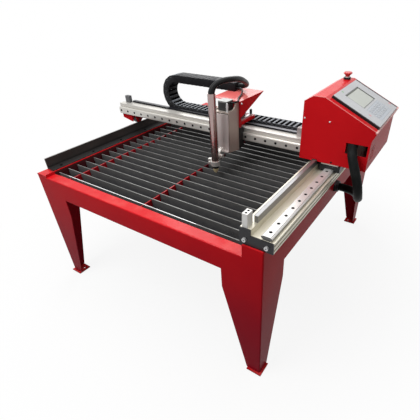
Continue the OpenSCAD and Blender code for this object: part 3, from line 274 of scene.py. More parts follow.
# %% A finish for a surface
class Finish(Graph):
    """A material, with the masks and noises that its surface needs."""

    def __init__(self, name, **constants):
        self.material = bpy.data.materials.new(name)
        self.material.use_nodes = True
        super().__init__(self.material.node_tree)
        self.shader = self.tree.nodes["Principled BSDF"]
        for socket, value in constants.items():
            self.shader.inputs[socket.replace("_", " ")].default_value = value

    def place(self, stretch=(1, 1, 1)):
        """The piece's own coordinates in metres, stretched along each axis."""
        here = self.node("ShaderNodeTexCoord", output="Object")
        return self.node("ShaderNodeVectorMath", {"operation": "MULTIPLY"}, {0: here, 1: stretch})

    def axis(self, name):
        return self.node("ShaderNodeSeparateXYZ", sockets={0: self.place()}, output=name)

    def noise(self, scale, detail=3, stretch=(1, 1, 1)):
        sockets = {"Vector": self.place(stretch), "Scale": scale, "Detail": detail}
        return self.node("ShaderNodeTexNoise", sockets=sockets)

    def specks(self, scale):
        return self.node("ShaderNodeTexVoronoi", sockets={"Vector": self.place(), "Scale": scale})

    def inside(self, value, low, high, edge=0.0004):
        """1 between low and high."""
        return self.band(value, low - edge, low + edge) * (1 - self.band(value, high - edge, high + edge))

    def spots(self, first, second, radius):
        """1 within a radius of the point where both values are 0."""
        return 1 - self.band(first * first + second * second, (radius * 0.9) ** 2, radius**2)

    def repeat(self, value, pitch):
        """The distance to the nearest of points that follow each other at a pitch from 0."""
        ends = {0: value, 1: pitch / 2, 2: -pitch / 2}
        return self.node("ShaderNodeMath", {"operation": "WRAP"}, ends)

    def facing_up(self):
        """1 where the surface looks up."""
        normal = self.node("ShaderNodeNewGeometry", output="Normal")
        rise = self.node("ShaderNodeSeparateXYZ", sockets={0: normal}, output="Z")
        return self.band(rise, 0.5, 0.95)

    def mix(self, mask, first, second):
        colours = {0: mask, 6: first, 7: second}
        return self.node("ShaderNodeMix", {"data_type": "RGBA"}, colours, 2)

    def bump(self, height, distance):
        sockets = {"Height": height, "Distance": distance, "Strength": 1.0}
        return self.node("ShaderNodeBump", sockets=sockets)

    def shade(self, colour, rough, metal=0.0, normal=None):
        self.link(self.shader.inputs["Base Color"], colour)
        self.link(self.shader.inputs["Roughness"], rough)
        self.link(self.shader.inputs["Metallic"], metal)
        if normal:
            self.link(self.shader.inputs["Normal"], normal)
        return self


def rgb(red, green, blue):
    return (red, green, blue, 1)


def dress(finish, *names):
    """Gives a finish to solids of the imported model, by their names."""
    for name in names:
        slots = nodes[name].data.materials
        if not slots:
            slots.append(None)
        for i in range(len(slots)):
            slots[i] = finish.material


def wear(made, finish):
    """Gives a finish to a new piece."""
    made.data.materials.append(finish.material)
    return made


print("finishes are written with", Wire.__name__, "and", Finish.__name__)

# %% [markdown]
# ## Red powder paint
# Rails, legs, console and covers are powder painted: a saturated red with a faint orange-peel
# skin, a little shop dust and a painted sheen on faces that look up, and small scuffs. Painted
# shade darkens the lower parts, soot and painted shade the bed, and painted highlights the folds.
# A flat red would look like plastic, so tone, gloss and skin each get their own noise at
# their own scale.

# %% Mix the paint
paint = Finish("red_powder_paint", Specular_IOR_Level=0.02, Coat_Roughness=0.15)
tone = paint.noise(5, 4)
peel = paint.noise(520, 2)
# Dust and a painted sheen lighten the faces that look up.
dust_and_sheen = paint.band(paint.noise(14, 6), 0.4, 0.78) * paint.facing_up()
scuff = paint.band(paint.noise(30, 7, (1, 1, 4)), 0.66, 0.74)
# Painted shade darkens the lower parts, except the faces that look up.
low_down = 1 - paint.band(paint.axis("Z") + tone * 0.2, 0.2, 1.05)
painted_low_shade = low_down * (1 - paint.facing_up() * 0.8) * 0.62
# A painted sheen lightens the tops of the covers.
cover_top_sheen = paint.band(paint.axis("Z"), 1.02, 1.03) * paint.facing_up()
cover_top_sheen = cover_top_sheen * (1 - paint.band(paint.axis("X"), 0.4, 0.41))
colour = paint.mix(tone, rgb(0.55, 0.007, 0.012), rgb(0.68, 0.012, 0.016))
colour = paint.mix(dust_and_sheen * 0.16, colour, rgb(0.8, 0.34, 0.28))
colour = paint.mix(cover_top_sheen * 0.3, colour, rgb(0.85, 0.42, 0.38))
colour = paint.mix(scuff * 0.18, colour, rgb(0.36, 0.008, 0.012))
colour = paint.mix(painted_low_shade, colour, rgb(0.13, 0.004, 0.022))

# %% Soot and painted shade beside and under the bed
# Soot and painted shade darken the rail's inner wall beside the bed.
wall = paint.inside(paint.axis("X"), -0.7, -0.62) * paint.inside(paint.axis("Y"), -0.7, 0.7)
soot_and_shade = wall * paint.inside(paint.axis("Z") + paint.noise(20, 4) * 0.006, 0.56, 0.7045, 0.002)
colour = paint.mix(soot_and_shade * 0.92, colour, rgb(0.03, 0.02, 0.02))
# Soot and painted shade also darken the bed's inside under the slats, deeper in one patch.
bed = paint.inside(paint.axis("X"), -0.66, 0.56) * paint.inside(paint.axis("Y"), -0.69, 0.69)
bed = bed * paint.inside(paint.axis("Z"), 0.59, 0.689)
burnt = paint.inside(paint.axis("X"), -0.1, 0.05) * paint.band(paint.axis("Y"), -0.26, -0.2)
smoked_and_shaded = bed * (0.25 + paint.noise(25, 4) * 0.35 + burnt * 0.5)
colour = paint.mix(smoked_and_shaded, colour, rgb(0.06, 0.006, 0.012))

# %% Painted highlights on the console's folds, and the gloss
# Painted highlights lighten the console's nose fold and the slope's front edge.
nose_highlight = paint.band(paint.axis("X"), 0.82, 0.824) * paint.inside(paint.axis("Z"), 1.0085, 1.017)
rim = paint.inside(paint.axis("Y"), -0.1525, -0.1475) * paint.facing_up()
rim = rim * paint.band(paint.axis("Z"), 1.0, 1.01)
colour = paint.mix(nose_highlight * 0.75 + rim * 0.3, colour, rgb(0.9, 0.58, 0.54))
rough = 0.27 + tone * 0.1 + dust_and_sheen * 0.1 + scuff * 0.1 + soot_and_shade * 0.25
paint.shade(colour, rough, normal=paint.bump(peel, 0.0002))
paint.link(paint.shader.inputs["Coat Weight"], paint.facing_up() * (0.3 + tone * 0.3))
dress(
    paint, "front_rail", "rear_rail", "left_rail", "right_rail", "leg_front_left", "leg_front_right",
    "leg_rear_left", "leg_rear_right", "slat_supports", "roller_fork", "console_front", "console_back",
    "console_wrap", "chain_cover", "motor_plate",
)
print("paint on", sum(paint.material.name in o.data.materials for o in nodes.values()), "solids")

# %% [markdown]
# ## Slats and other dark steel
# The slats are hot-rolled bar. Their faces keep a dark scale, and the cutting arc leaves pale,
# burnt upper edges with spatter; a painted glint whitens the first slat's top edge. The running
# angle on the left is the same steel with a line worn bright by the roller, and painted shade in
# its inner corner.

# %% Slats and tray
scale = Finish("burnt_slat_steel", Specular_IOR_Level=0.3)
height = scale.axis("Z")
top_edge = scale.band(height, 0.6885, 0.6897) * scale.facing_up()
heat = scale.band(height + scale.noise(22, 4) * 0.03, 0.668, 0.7)
spatter = (1 - scale.band(scale.specks(120), 0.12, 0.3)) * scale.band(scale.noise(9, 3), 0.45, 0.62)
mottle = scale.noise(34, 6)
worn = scale.band(scale.noise(11, 5, (1, 6, 1)), 0.4, 0.66)
# A painted glint whitens the top edge of the first slat.
first = 1 - scale.band(scale.axis("Y"), -0.66, -0.65)
first_edge_glint = first * scale.band(scale.noise(5, 2), 0.44, 0.5)
colour = scale.mix(mottle, rgb(0.05, 0.051, 0.056), rgb(0.1, 0.1, 0.102))
colour = scale.mix(heat * 0.5, colour, rgb(0.13, 0.126, 0.12))
colour = scale.mix(scale.band(scale.axis("Y"), -0.2, 0.5) * 0.4, colour, rgb(0.035, 0.035, 0.037))
colour = scale.mix(spatter * 0.5, colour, rgb(0.14, 0.115, 0.09))
colour = scale.mix(top_edge * (0.3 + worn * 0.4), colour, rgb(0.42, 0.42, 0.41))
colour = scale.mix(top_edge * first_edge_glint, colour, rgb(0.85, 0.85, 0.85))
bumps = scale.bump(mottle + spatter * 3, 0.0006)
scale.shade(colour, 0.55 + mottle * 0.2 - top_edge * 0.15, 0.25 + top_edge * 0.3, bumps)
dress(scale, "slats", "slag_tray")
print("burnt steel on slats and tray")

# %% Running angle
track = Finish("rolled_track_steel")
mottle = track.noise(26, 6, (1, 0.35, 1))
worn = track.band(track.axis("Z"), 0.757, 0.7598)
colour = track.mix(mottle, rgb(0.024, 0.02, 0.019), rgb(0.06, 0.051, 0.047))
colour = track.mix(track.facing_up() * 0.6, colour, rgb(0.016, 0.015, 0.015))
# Painted shade darkens the foot of the angle, at its inner corner.
corner = 1 - track.band(track.axis("Z"), 0.71, 0.722)
colour = track.mix(corner * 0.7, colour, rgb(0.008, 0.007, 0.007))
colour = track.mix(worn, colour, rgb(0.55, 0.54, 0.53))
track.shade(colour, 0.48 + mottle * 0.2 - worn * 0.15, 0.45 + worn * 0.4, track.bump(mottle, 0.0005))
dress(track, "track_angle")
print("rolled steel on the running angle")

# %% [markdown]
# ## Bright metals
# The beam and the right-hand extrusion are anodised aluminium with drawn streaks along their
# length. Guides, screws and the right-hand rack are ground steel, and the torch tube is polished.
# One function makes them all, because only the tone, the gloss and the direction of the streaks differ.

# %% Drawn metal
def drawn_metal(name, dark, light, rough, metal, stretch, depth=0.00008, shadowed=None):
    """Metal with fine streaks where the stretch is small, and black where shadowed says so."""
    made = Finish(name)
    streak = made.noise(60, 5, stretch)
    cloud = made.noise(7, 4)
    smear = made.band(made.noise(16, 6), 0.5, 0.8)
    tint = made.mix(streak * 0.6 + cloud * 0.4, rgb(*dark), rgb(*light))
    if shadowed:
        tint = made.mix(shadowed(made), tint, rgb(0.008, 0.008, 0.009))
    return made.shade(tint, rough + cloud * 0.1 + smear * 0.12, metal, made.bump(streak, depth))


bore_pitch = 0.06


def beam_bores(finish):
    """The screw bores along the beam's guide."""
    first = at(-73, 0, 839)
    along = finish.repeat(finish.axis("X") - first.x, bore_pitch)
    return finish.spots(along, finish.axis("Z") - first.z, 0.0074)


def rail_bores(finish):
    """The screw bores along the right-hand guide, and its front end."""
    first = at(1385, 46.5, 0)
    along = finish.repeat(finish.axis("Y") - first.y, bore_pitch)
    bores = finish.spots(finish.axis("X") - first.x, along, 0.0072)
    end = 1 - finish.band(finish.axis("Y"), -0.7358, -0.735)
    return bores + (1 - bores) * end * 0.8


def stop_bores(finish):
    """The two screw holes in the top of each right-hand stop block."""
    across = finish.axis("X") - at(1299.1, 0, 0).x
    deep = finish.axis("Y")
    places = (at(0, y, 0).y for y in (23.7, 40.3, 1463.7, 1480.3))
    return sum(finish.spots(across, deep - y, 0.0052) for y in places)


# %% Aluminium and steel
along_x = (0.04, 6, 6)
along_y = (6, 0.04, 6)
along_z = (6, 6, 0.04)
beam_metal = drawn_metal("beam_aluminium", (0.54, 0.52, 0.48), (0.7, 0.68, 0.64), 0.3, 0.35, along_x)
rail_metal = drawn_metal("rail_aluminium", (0.66, 0.62, 0.5), (0.78, 0.74, 0.62), 0.3, 0.35, along_y)
lift_metal = drawn_metal("lifter_aluminium", (0.42, 0.355, 0.31), (0.6, 0.52, 0.46), 0.34, 0.4, along_z)
face_metal = drawn_metal("lift_plate_aluminium", (0.55, 0.49, 0.47), (0.74, 0.68, 0.66), 0.3, 0.45, along_z)
block_metal = drawn_metal("plated_holder", (0.6, 0.58, 0.55), (0.84, 0.82, 0.79), 0.16, 0.65, (3, 3, 3))
guide_x_metal = drawn_metal(
    "beam_guide_steel", (0.58, 0.56, 0.52), (0.74, 0.72, 0.68), 0.26, 0.45, along_x, shadowed=beam_bores
)
guide_y_metal = drawn_metal(
    "rail_guide_steel", (0.56, 0.55, 0.53), (0.7, 0.69, 0.67), 0.26, 0.4, along_y, shadowed=rail_bores
)
stop_metal = drawn_metal(
    "rail_stop_blocks", (0.64, 0.63, 0.61), (0.76, 0.75, 0.73), 0.38, 0.3, (3, 3, 3), shadowed=stop_bores
)
screw_metal = drawn_metal("zinc_screws", (0.45, 0.45, 0.46), (0.7, 0.7, 0.7), 0.3, 0.8, (2, 2, 2))
# The tube's pinkish tone is a painted reflection of the red paint around it.
tube_metal = drawn_metal(
    "polished_tube", (0.3, 0.21, 0.2), (0.48, 0.37, 0.355), 0.12, 0.95, along_z, 0.00002
)
rack_metal = drawn_metal("rack_steel", (0.2, 0.2, 0.205), (0.36, 0.36, 0.36), 0.26, 0.7, along_y)
tip_metal = drawn_metal("torch_brass", (0.66, 0.54, 0.3), (0.84, 0.72, 0.44), 0.3, 0.35, (2, 2, 6))
dress(beam_metal, "beam", "gantry_base")
dress(rail_metal, "y_extrusion")
dress(lift_metal, "lifter_housing", "drive_units")
dress(face_metal, "lift_plate")
dress(block_metal, "torch_holder")
dress(stop_metal, "y_stops")
dress(guide_x_metal, "x_guide")
dress(guide_y_metal, "y_guide")
dress(rack_metal, "y_rack")
dress(screw_metal, "y_pinion", "x_pinion", "z_screw")
dress(tube_metal, "torch_tube")
dress(tip_metal, "torch_tip")
print("bright metals made")

# %% Beam stops and screws
stops = Finish("beam_stop_blocks")
pale = stops.band(stops.axis("X"), -0.01, 0.01)
grain = stops.noise(40, 5, (3, 3, 3))
colour = stops.mix(grain, rgb(0.07, 0.072, 0.076), rgb(0.15, 0.15, 0.155))
colour = stops.mix(pale, colour, stops.mix(grain, rgb(0.3, 0.27, 0.265), rgb(0.42, 0.38, 0.375)))
stops.shade(colour, 0.36 + grain * 0.12, 0.3, stops.bump(grain, 0.0001))
dress(stops, "x_stops")

screws = Finish("zinc_and_black_screws", Specular_IOR_Level=0.12)
on_guide_y = screws.inside(screws.axis("X"), 0.638, 0.664) * screws.band(screws.axis("Z"), 0.788, 0.79)
on_guide_x = screws.inside(screws.axis("Y"), -0.1, 0.1) * screws.inside(screws.axis("Z"), 0.8, 0.88)
on_track = 1 - screws.band(screws.axis("X"), -0.65, -0.64)
blackened = on_guide_y + on_guide_x + on_track * (1 - on_guide_x)
grain = screws.noise(120, 4)
zinc = screws.mix(grain, rgb(0.45, 0.45, 0.46), rgb(0.7, 0.7, 0.7))
colour = screws.mix(blackened, zinc, rgb(0.006, 0.006, 0.007))
screws.shade(colour, 0.4 + grain * 0.1, 0.8 - blackened * 0.8)
dress(screws, "rail_screws", "gantry_screws")
print("stops and screws made")

# %% [markdown]
# ## Black parts
# End plates, bearing blocks and the beam's rack are blackened steel. The chain, glands and the
# emergency stop's collar are moulded plastic with a fine grain, and the cables have a rubber
# jacket. Blacks are told apart by gloss more than by colour.

# %% Black metal, plastic and rubber
def black_finish(name, dark, light, rough, grain, depth, metal=0.0, shine=0.5, dust_and_sheen=0.0):
    """A black surface with pores, smears, and some dust with a painted sheen on top."""
    made = Finish(name, Specular_IOR_Level=shine)
    cloud = made.noise(12, 4)
    pores = made.noise(grain, 3)
    smear = made.band(made.noise(24, 6), 0.5, 0.75)
    tint = made.mix(cloud * 0.5 + smear * 0.5, rgb(*dark), rgb(*light))
    # Dust and a painted bluish sheen lighten the faces that look up.
    tint = made.mix(made.facing_up() * (dust_and_sheen + smear * dust_and_sheen * 0.3), tint, rgb(0.34, 0.37, 0.41))
    return made.shade(tint, rough + cloud * 0.1 + smear * 0.08, metal, made.bump(pores, depth))


plastic = (0.008, 0.008, 0.009), (0.016, 0.016, 0.018)
chain_plastic = black_finish("chain_plastic", *plastic, 0.4, 900, 0.0001, shine=0.16, dust_and_sheen=0.5)
chain_top = black_finish("upper_chain_plastic", *plastic, 0.4, 900, 0.0001, shine=0.08, dust_and_sheen=0.03)
black_steel = black_finish(
    "blackened_steel", (0.008, 0.008, 0.01), (0.03, 0.03, 0.033), 0.36, 300, 0.0001, 0.4
)
soft_black = black_finish(
    "cable_jacket", (0.007, 0.007, 0.007), (0.016, 0.016, 0.017), 0.34, 500, 0.0001, shine=0.14, dust_and_sheen=0.03
)
sleeve_black = black_finish(
    "supply_sleeve", (0.006, 0.007, 0.007), (0.018, 0.019, 0.019), 0.42, 260, 0.0004, shine=0.05
)
dress(black_steel, "y_end_plates", "y_bearings", "x_bearings", "torch_head", "track_roller")
dress(chain_plastic, "rail_gland", "estop_base")
wear(torch_lead, soft_black)
wear(lead_boot, soft_black)
wear(motor_cable, soft_black)
wear(supply_lead, sleeve_black)
print("black parts made")

# %% Carriage plate and beam rack
backing = Finish("carriage_plate_paint", Specular_IOR_Level=0.1)
grain = backing.noise(40, 4)
upper = backing.band(backing.axis("Z"), 0.9, 0.908)
black = backing.mix(grain, rgb(0.01, 0.01, 0.011), rgb(0.035, 0.033, 0.033))
colour = backing.mix(upper, black, backing.mix(grain, rgb(0.4, 0.006, 0.012), rgb(0.52, 0.01, 0.016)))
backing.shade(colour, 0.36 + grain * 0.12, 0.0, backing.bump(grain, 0.0001))
dress(backing, "carriage_plate")

toothed = Finish("beam_rack_steel")
# A painted glint lightens the rack's top face toward its right-hand end.
bright = toothed.facing_up() * toothed.band(toothed.axis("X") + toothed.noise(9, 3) * 0.1, 0.1, 0.4)
grain = toothed.noise(60, 4, (0.1, 6, 6))
colour = toothed.mix(grain, rgb(0.008, 0.008, 0.012), rgb(0.03, 0.03, 0.036))
colour = toothed.mix(bright * 0.9, colour, rgb(0.5, 0.51, 0.54))
toothed.shade(colour, 0.3 + grain * 0.1, 0.4, toothed.bump(grain, 0.0001))
dress(toothed, "x_rack")
print("carriage plate and beam rack made")

# %% [markdown]
# ## Motors and the engage lever
# A stepper motor is a black stack of steel sheets between two silver caps. The caps are part of
# the same solid, so the finish finds them by height. The lever is silver with a black knob in
# the same way.

# %% Motors
def motor_finish(name, low, high):
    """A black stack between silver caps, from its lower to its upper face."""
    made = Finish(name)
    z = made.axis("Z")
    stack = made.inside(z, low + 0.012, high - 0.006)
    waves = {"Vector": made.place(), "Scale": 400, "Distortion": 0.3}
    sheets = made.node("ShaderNodeTexWave", {"bands_direction": "Z"}, waves)
    grain = made.noise(90, 4)
    silver = made.mix(grain, rgb(0.2, 0.2, 0.2), rgb(0.3, 0.3, 0.29))
    black = made.mix(sheets, rgb(0.01, 0.01, 0.011), rgb(0.035, 0.035, 0.037))
    colour = made.mix(stack, silver, black)
    edges = made.bump(sheets * stack, 0.0001)
    return made.shade(colour, 0.32 + grain * 0.12, 0.6 - stack * 0.4, edges)


dress(motor_finish("cross_motor", 0.926, 1.002), "x_motor")
dress(motor_finish("lift_motor", 0.99, 1.047), "z_motor")
dress(motor_finish("long_motor", 0.86, 0.936), "y_motor")
print("three motors made")

# %% Lever
lever = Finish("lever_metal")
knob = lever.band(lever.axis("Z"), 0.9342, 0.9346)
grain = lever.noise(80, 4, (6, 0.1, 6))
silver = lever.mix(grain, rgb(0.55, 0.55, 0.54), rgb(0.78, 0.78, 0.76))
tint = lever.mix(knob, silver, rgb(0.012, 0.012, 0.013))
lever.shade(tint, 0.28 + grain * 0.12, 0.85 - knob * 0.85, lever.bump(grain, 0.00005))
dress(lever, "engage_lever")
print("lever made")

# %% [markdown]
# ## The operator panel
# The panel is a moulded case with a silver overlay and a black rim, seen as a dark edge. Its own
# height above the sloped face tells rim from overlay. The display is switched off and shows the
# grey-green of a bare LCD behind glass. Keys are plain membrane pads, beside three small lamps.

# %% Panel overlay
slope = math.atan2(110, 233)
across = Vector((math.cos(slope), 0, -math.sin(slope)))
outward = Vector((math.sin(slope), 0, math.cos(slope)))
slope_top = at(1330, 0, 1122)


def on_slope(finish, direction):
    """Metres from the slope's upper edge along a direction."""
    vectors = "ShaderNodeVectorMath"
    here = finish.node(vectors, {"operation": "SUBTRACT"}, {0: finish.place(), 1: slope_top})
    return finish.node(vectors, {"operation": "DOT_PRODUCT"}, {0: here, 1: direction}, "Value")


panel = Finish("panel_overlay", Specular_IOR_Level=0.2)
rise = on_slope(panel, outward)
down = on_slope(panel, across)
back = panel.axis("Y")
overlay = panel.band(rise, 0.0088, 0.0094)
well = panel.inside(down, 0.047, 0.149) * panel.inside(back, -0.04, 0.136)
pad_field = panel.inside(down, 0.159, 0.238) * panel.inside(back, -0.04, 0.136)
outline = pad_field * (1 - panel.inside(down, 0.1605, 0.2365) * panel.inside(back, -0.0385, 0.1345))
grain = panel.noise(700, 2)
cloud = panel.noise(8, 3)
silver = panel.mix(cloud, rgb(0.43, 0.435, 0.45), rgb(0.57, 0.575, 0.59))
silver = panel.mix(pad_field * 0.55, silver, rgb(0.45, 0.5, 0.56))
silver = panel.mix(outline * 0.6, silver, rgb(0.2, 0.23, 0.27))
silver = panel.mix(well * 0.7, silver, rgb(0.16, 0.165, 0.16))
border = 1 - panel.inside(back, -0.109, 0.2)
silver = panel.mix(border, silver, rgb(0.015, 0.015, 0.016))
for lamp_down, lamp_back, radius, tint in (
    (0.028, -0.02, 0.006, rgb(0.12, 0.36, 0.1)), (0.212, 0.19, 0.008, rgb(0.7, 0.2, 0.22)),
    (0.186, -0.066, 0.007, rgb(0.62, 0.24, 0.26)),
):
    silver = panel.mix(panel.spots(down - lamp_down, back - lamp_back, radius) * 0.7, silver, tint)
tint = panel.mix(overlay, rgb(0.012, 0.012, 0.013), silver)
panel.shade(tint, 0.34 + cloud * 0.1, overlay * 0.15, panel.bump(grain, 0.0001))
dress(panel, "control_panel")
print("overlay on a slope of", round(math.degrees(slope), 1), "degrees")

# %% Screen, keys and stop button
glass = Finish("screen_glass", Specular_IOR_Level=0.25, Coat_Weight=0.15, Coat_Roughness=0.05)
down = on_slope(glass, across)
# The dark frame round the LCD is bezel and painted recess shadow, wider along the upper and rear edges.
inside_bezel_shadow = glass.inside(down, 0.0575, 0.144) * glass.inside(glass.axis("Y"), -0.035, 0.124)
cells = glass.node("ShaderNodeTexChecker", sockets={"Vector": glass.place(), "Scale": 900}, output="Fac")
cloud = glass.noise(10, 3)
lcd = glass.mix(cloud, rgb(0.43, 0.45, 0.4), rgb(0.53, 0.55, 0.51))
lcd = glass.mix(cells * 0.06, lcd, rgb(0.3, 0.32, 0.28))
glass.shade(glass.mix(inside_bezel_shadow, rgb(0.035, 0.04, 0.025), lcd), 0.14 + cloud * 0.06)
dress(glass, "panel_screen")

pads = Finish("membrane_keys", Specular_IOR_Level=0.2)
grain = pads.noise(600, 3)
cloud = pads.noise(30, 3)
tint = pads.mix(cloud, rgb(0.42, 0.44, 0.47), rgb(0.5, 0.52, 0.54))
pads.shade(tint, 0.36 + cloud * 0.1, normal=pads.bump(grain, 0.0001))
dress(pads, "panel_keys")

stop = Finish("stop_button_plastic", Coat_Weight=0.4, Coat_Roughness=0.1)
collar = 1 - stop.band(stop.axis("Z"), 1.1342, 1.1346)
grain = stop.noise(500, 2)
cloud = stop.noise(40, 3)
tint = stop.mix(cloud, rgb(0.5, 0.012, 0.014), rgb(0.62, 0.02, 0.02))
colour = stop.mix(collar, tint, rgb(0.7, 0.68, 0.64))
stop.shade(colour, 0.24 + cloud * 0.1, normal=stop.bump(grain, 0.00006))
dress(stop, "estop_button")
print("screen, keys and stop button made")

# %% [markdown]
# ## The drag chain
# A drag chain guides the cables to the carriage. Each link has two rounded side plates with a
# hinge disc, a closed lid outside and an open bar inside. One link is drawn and repeated. The
# straight runs lie between the beam and the carriage, and the bend rides on its own body, which
# rolls at half the speed. For the upper run, the share of a blend that eases in and out is worked
# out for each length; one blend over the whole upper run would fold it where it has to shrink to
# a stub. So that run is made in five lengths, and each is given its own part of the way.

# %% Helpers for small solids
def add_slab(shape, low, high, edge=0.0, turn=None):
    """Adds a box between two corners with rounded edges."""
    low, high = Vector(low), Vector(high)
    place = Matrix.Translation((low + high) / 2) @ Matrix.Diagonal((*(high - low), 1))
    made = bmesh.ops.create_cube(shape, size=1, matrix=(turn or Matrix()) @ place)
    if edge:
        edges = list({e for v in made["verts"] for e in v.link_edges})
        bmesh.ops.bevel(shape, geom=edges, offset=edge, segments=2, profile=0.5, affect="EDGES")


def add_rod(shape, centre, along, radius, length, end=None, sides=20):
    """Adds a round bar from a centre along a direction, with its end radius if it tapers."""
    along = Vector(along).normalized()
    spin = along.to_track_quat("Z", "Y").to_matrix().to_4x4()
    place = Matrix.Translation(Vector(centre) + along * length / 2) @ spin
    wide = radius if end is None else end
    bmesh.ops.create_cone(
        shape, cap_ends=True, segments=sides, radius1=radius, radius2=wide, depth=length, matrix=place
    )


chain_front, chain_rear = at(0, 787, 0).y, at(0, 872, 0).y
link_height = 0.043
plate_thickness = 0.004


def add_link(shape, place, length, lap=0.0, last=False):
    """A link from 0 to its length along x: lid on z = 0, open bar at the top, a tongue each side.

    The last link of a bend is cut back inside, to leave room for the next run and for the cover.
    """
    start, top = (0.0048, 0.0392) if last else (0.0004, 0.0418)
    for near, sign in ((chain_front, -1), (chain_rear, 1)):
        one, other = sorted((near, near - sign * plate_thickness))
        add_slab(shape, (start, one, 0.0012), (length - 0.0004, other, top), 0.0011, place)
        one, other = sorted((near - sign * 0.0045, near - sign * 0.0015))
        add_slab(shape, (length - 0.004, one, 0.005), (length + 0.009, other, 0.038), 0.0008, place)
        if not last:
            disc = place @ Vector((0.0015, near - sign * 0.001, link_height / 2))
            add_rod(shape, disc, (0, sign, 0), 0.0135, 0.0018, 0.0125, 24)
            add_rod(shape, disc, (0, sign, 0), 0.005, 0.0026, 0.0042, 16)
    lid_end = (length - 0.0012 + lap, chain_rear, plate_thickness)
    add_slab(shape, (0.0012 - lap, chain_front, 0), lid_end, 0.0014, place)
    if not last:
        bar_end = (length * 0.45, chain_rear - 0.0012, link_height)
        add_slab(shape, (0.0008, chain_front + 0.0012, link_height - 0.004), bar_end, 0.0012, place)


# %% The lower run
link = 0.0295
seat = 0.862
bend_x = at(344, 0, 0).x
lower_links = 30
shape = bmesh.new()
for i in range(lower_links):
    add_link(shape, Matrix.Translation((bend_x + i * link, 0, seat)), link)
lower_run = wear(piece("chain_lower_links", shape), chain_plastic)
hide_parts("chain_lower")
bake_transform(lower_run)
print("lower run of", lower_links, "links")


# %% The upper run
def eased(share):
    """How far along a blend a share of the motion is reached."""
    return 0.5 - math.sin(math.asin(1 - 2 * share) / 3)


run_end = at(761, 0, 0).x
run_top = 1.079
flip = Matrix.Diagonal((1, 1, -1, 1))
cuts = (0, 4, 8, 11, 13, 14)
for first, last in zip(cuts, cuts[1:]):
    shape = bmesh.new()
    for i in range(first, last):
        add_link(shape, Matrix.Translation((bend_x + i * link, 0, run_top)) @ flip, link)
    near, far = bend_x + first * link, bend_x + last * link
    if last == cuts[-1]:
        far = run_end
        add_slab(shape, at(753, 787, 1036.2), at(761, 872, 1078.8), 0.0012)
    run = wear(piece(f"chain_upper_links_{first}", shape), chain_top)
    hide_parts("chain_upper")
    begin, end = (eased(0.5 + 0.5 * (x - bend_x) / (run_end - bend_x)) for x in (near, far))
    reach = (far - near) / (end - begin)
    start = near - begin * reach
    start + reach
    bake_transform(run)
print("upper run of", cuts[-1], "links in", len(cuts) - 1, "lengths")

# %% The bend
bend_links = 8
bend_pitch = 0.0342
middle = Matrix.Translation((bend_x, 0, (seat + run_top) / 2))
drop = Matrix.Translation((-bend_pitch / 2, 0, -0.1068))
shape = bmesh.new()
for i in range(bend_links):
    spin = Matrix.Rotation((i + 0.5) * math.pi / bend_links, 4, "Y")
    add_link(shape, middle @ spin @ drop, bend_pitch, 0.0045, last=i == bend_links - 1)
bend_run = wear(piece("chain_bend_links", shape, "chain_bend"), chain_plastic)
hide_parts("chain_bend")
print("bend of", bend_links, "links")

# %% [markdown]
# ## Small fittings
# The lift motor's plug stands beside it on the lifter's top, and a screw on each side holds the
# chain's cover. They are turned parts, so each is a short stack of round bars with a tapered end.

# %% Plug and cover screws
foot = at(864, 563.6, 1000)
nut = (0.0072, 0.007, 0.0072, 6)
stem = (0.0055, 0.015, 0.0055, 20)
ring = (0.0064, 0.006, 0.0064, 20)
cap = (0.0058, 0.014, 0.0042, 20)
rise = 0
shape = bmesh.new()
for radius, height, end, sides in (nut, stem, ring, cap):
    add_rod(shape, foot + Vector((0, 0, rise)), (0, 0, 1), radius, height, end, sides)
    rise += height
plug = wear(piece("lift_motor_plug", shape, "carriage"), screw_metal)

shape = bmesh.new()
for x, side in ((889, 1), (715, -1)):
    add_rod(shape, at(x, 656, 1022), (side, 0, 0), 0.0055, 0.0032, 0.0034)
cover_screws = wear(piece("cover_screws", shape, "carriage"), screw_metal)
print("plug", round(rise * 1000), "mm high, and two cover screws")

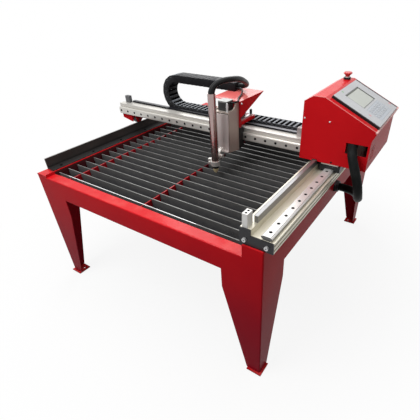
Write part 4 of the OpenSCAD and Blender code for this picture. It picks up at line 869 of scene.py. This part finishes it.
# %% [markdown]
# ## Floor and light
# A wide pale floor and soft light from large lamps keep the colours as they are written. The far
# floor turns to plain white for the camera, so no horizon shows, and the floor near the table
# keeps its shadow.

# %% Floor
bpy.context.scene.view_settings.view_transform = "Standard"
shape = bmesh.new()
bmesh.ops.create_grid(shape, x_segments=8, y_segments=8, size=60)
floor = piece("floor", shape)
ground = Finish("pale_floor")
spread = ground.node("ShaderNodeVectorMath", {"operation": "LENGTH"}, {0: ground.place()}, "Value")
far = 0.88 + ground.band(spread, 1.0, 1.8) * 0.12
seen = ground.seen()
bounce = ground.mix(seen, rgb(0.16, 0.16, 0.16), rgb(0.9, 0.9, 0.9))
ground.shade(bounce, 0.7 + ground.noise(40, 2) * 0.1)
glow = ground.node("ShaderNodeEmission", sockets={"Color": rgb(1, 1, 1), "Strength": 1.0})
surface = Wire(ground, ground.shader.outputs[0])
both = ground.node("ShaderNodeMixShader", sockets={0: far * seen, 1: surface, 2: glow})
ground.link(ground.tree.nodes["Material Output"].inputs["Surface"], both)
wear(floor, ground)
print("floor of", round(floor.dimensions.x), "m")

# %% Lamps and surroundings
world = bpy.data.worlds.new("studio")
bpy.context.scene.world = world
world.use_nodes = True
sky = Graph(world.node_tree)
background = sky.tree.nodes["Background"]
background.inputs["Color"].default_value = rgb(1, 1, 1)
dim = 0.24
sky.link(background.inputs["Strength"], dim + sky.seen() * (1 - dim))


def lamp(name, place, size, watts):
    """A soft square lamp that faces the middle of the table."""
    light = bpy.data.lights.new(name, "AREA")
    light.size = size
    light.energy = watts
    made = bpy.data.objects.new(name, light)
    bpy.context.scene.collection.objects.link(made)
    made.location = place
    made.rotation_euler = (Vector((0, 0, 0.7)) - Vector(place)).to_track_quat("-Z", "Y").to_euler()
    made.visible_camera = False


lamp("back_softbox", (-1.7, 2.6, 2.9), 2.4, 50)
lamp("top_softbox", (0.2, -0.2, 3.4), 2.6, 56)
lamp("front_softbox", (-0.5, -1.9, 2.7), 1.6, 42)
print("three lamps and a pale sky")
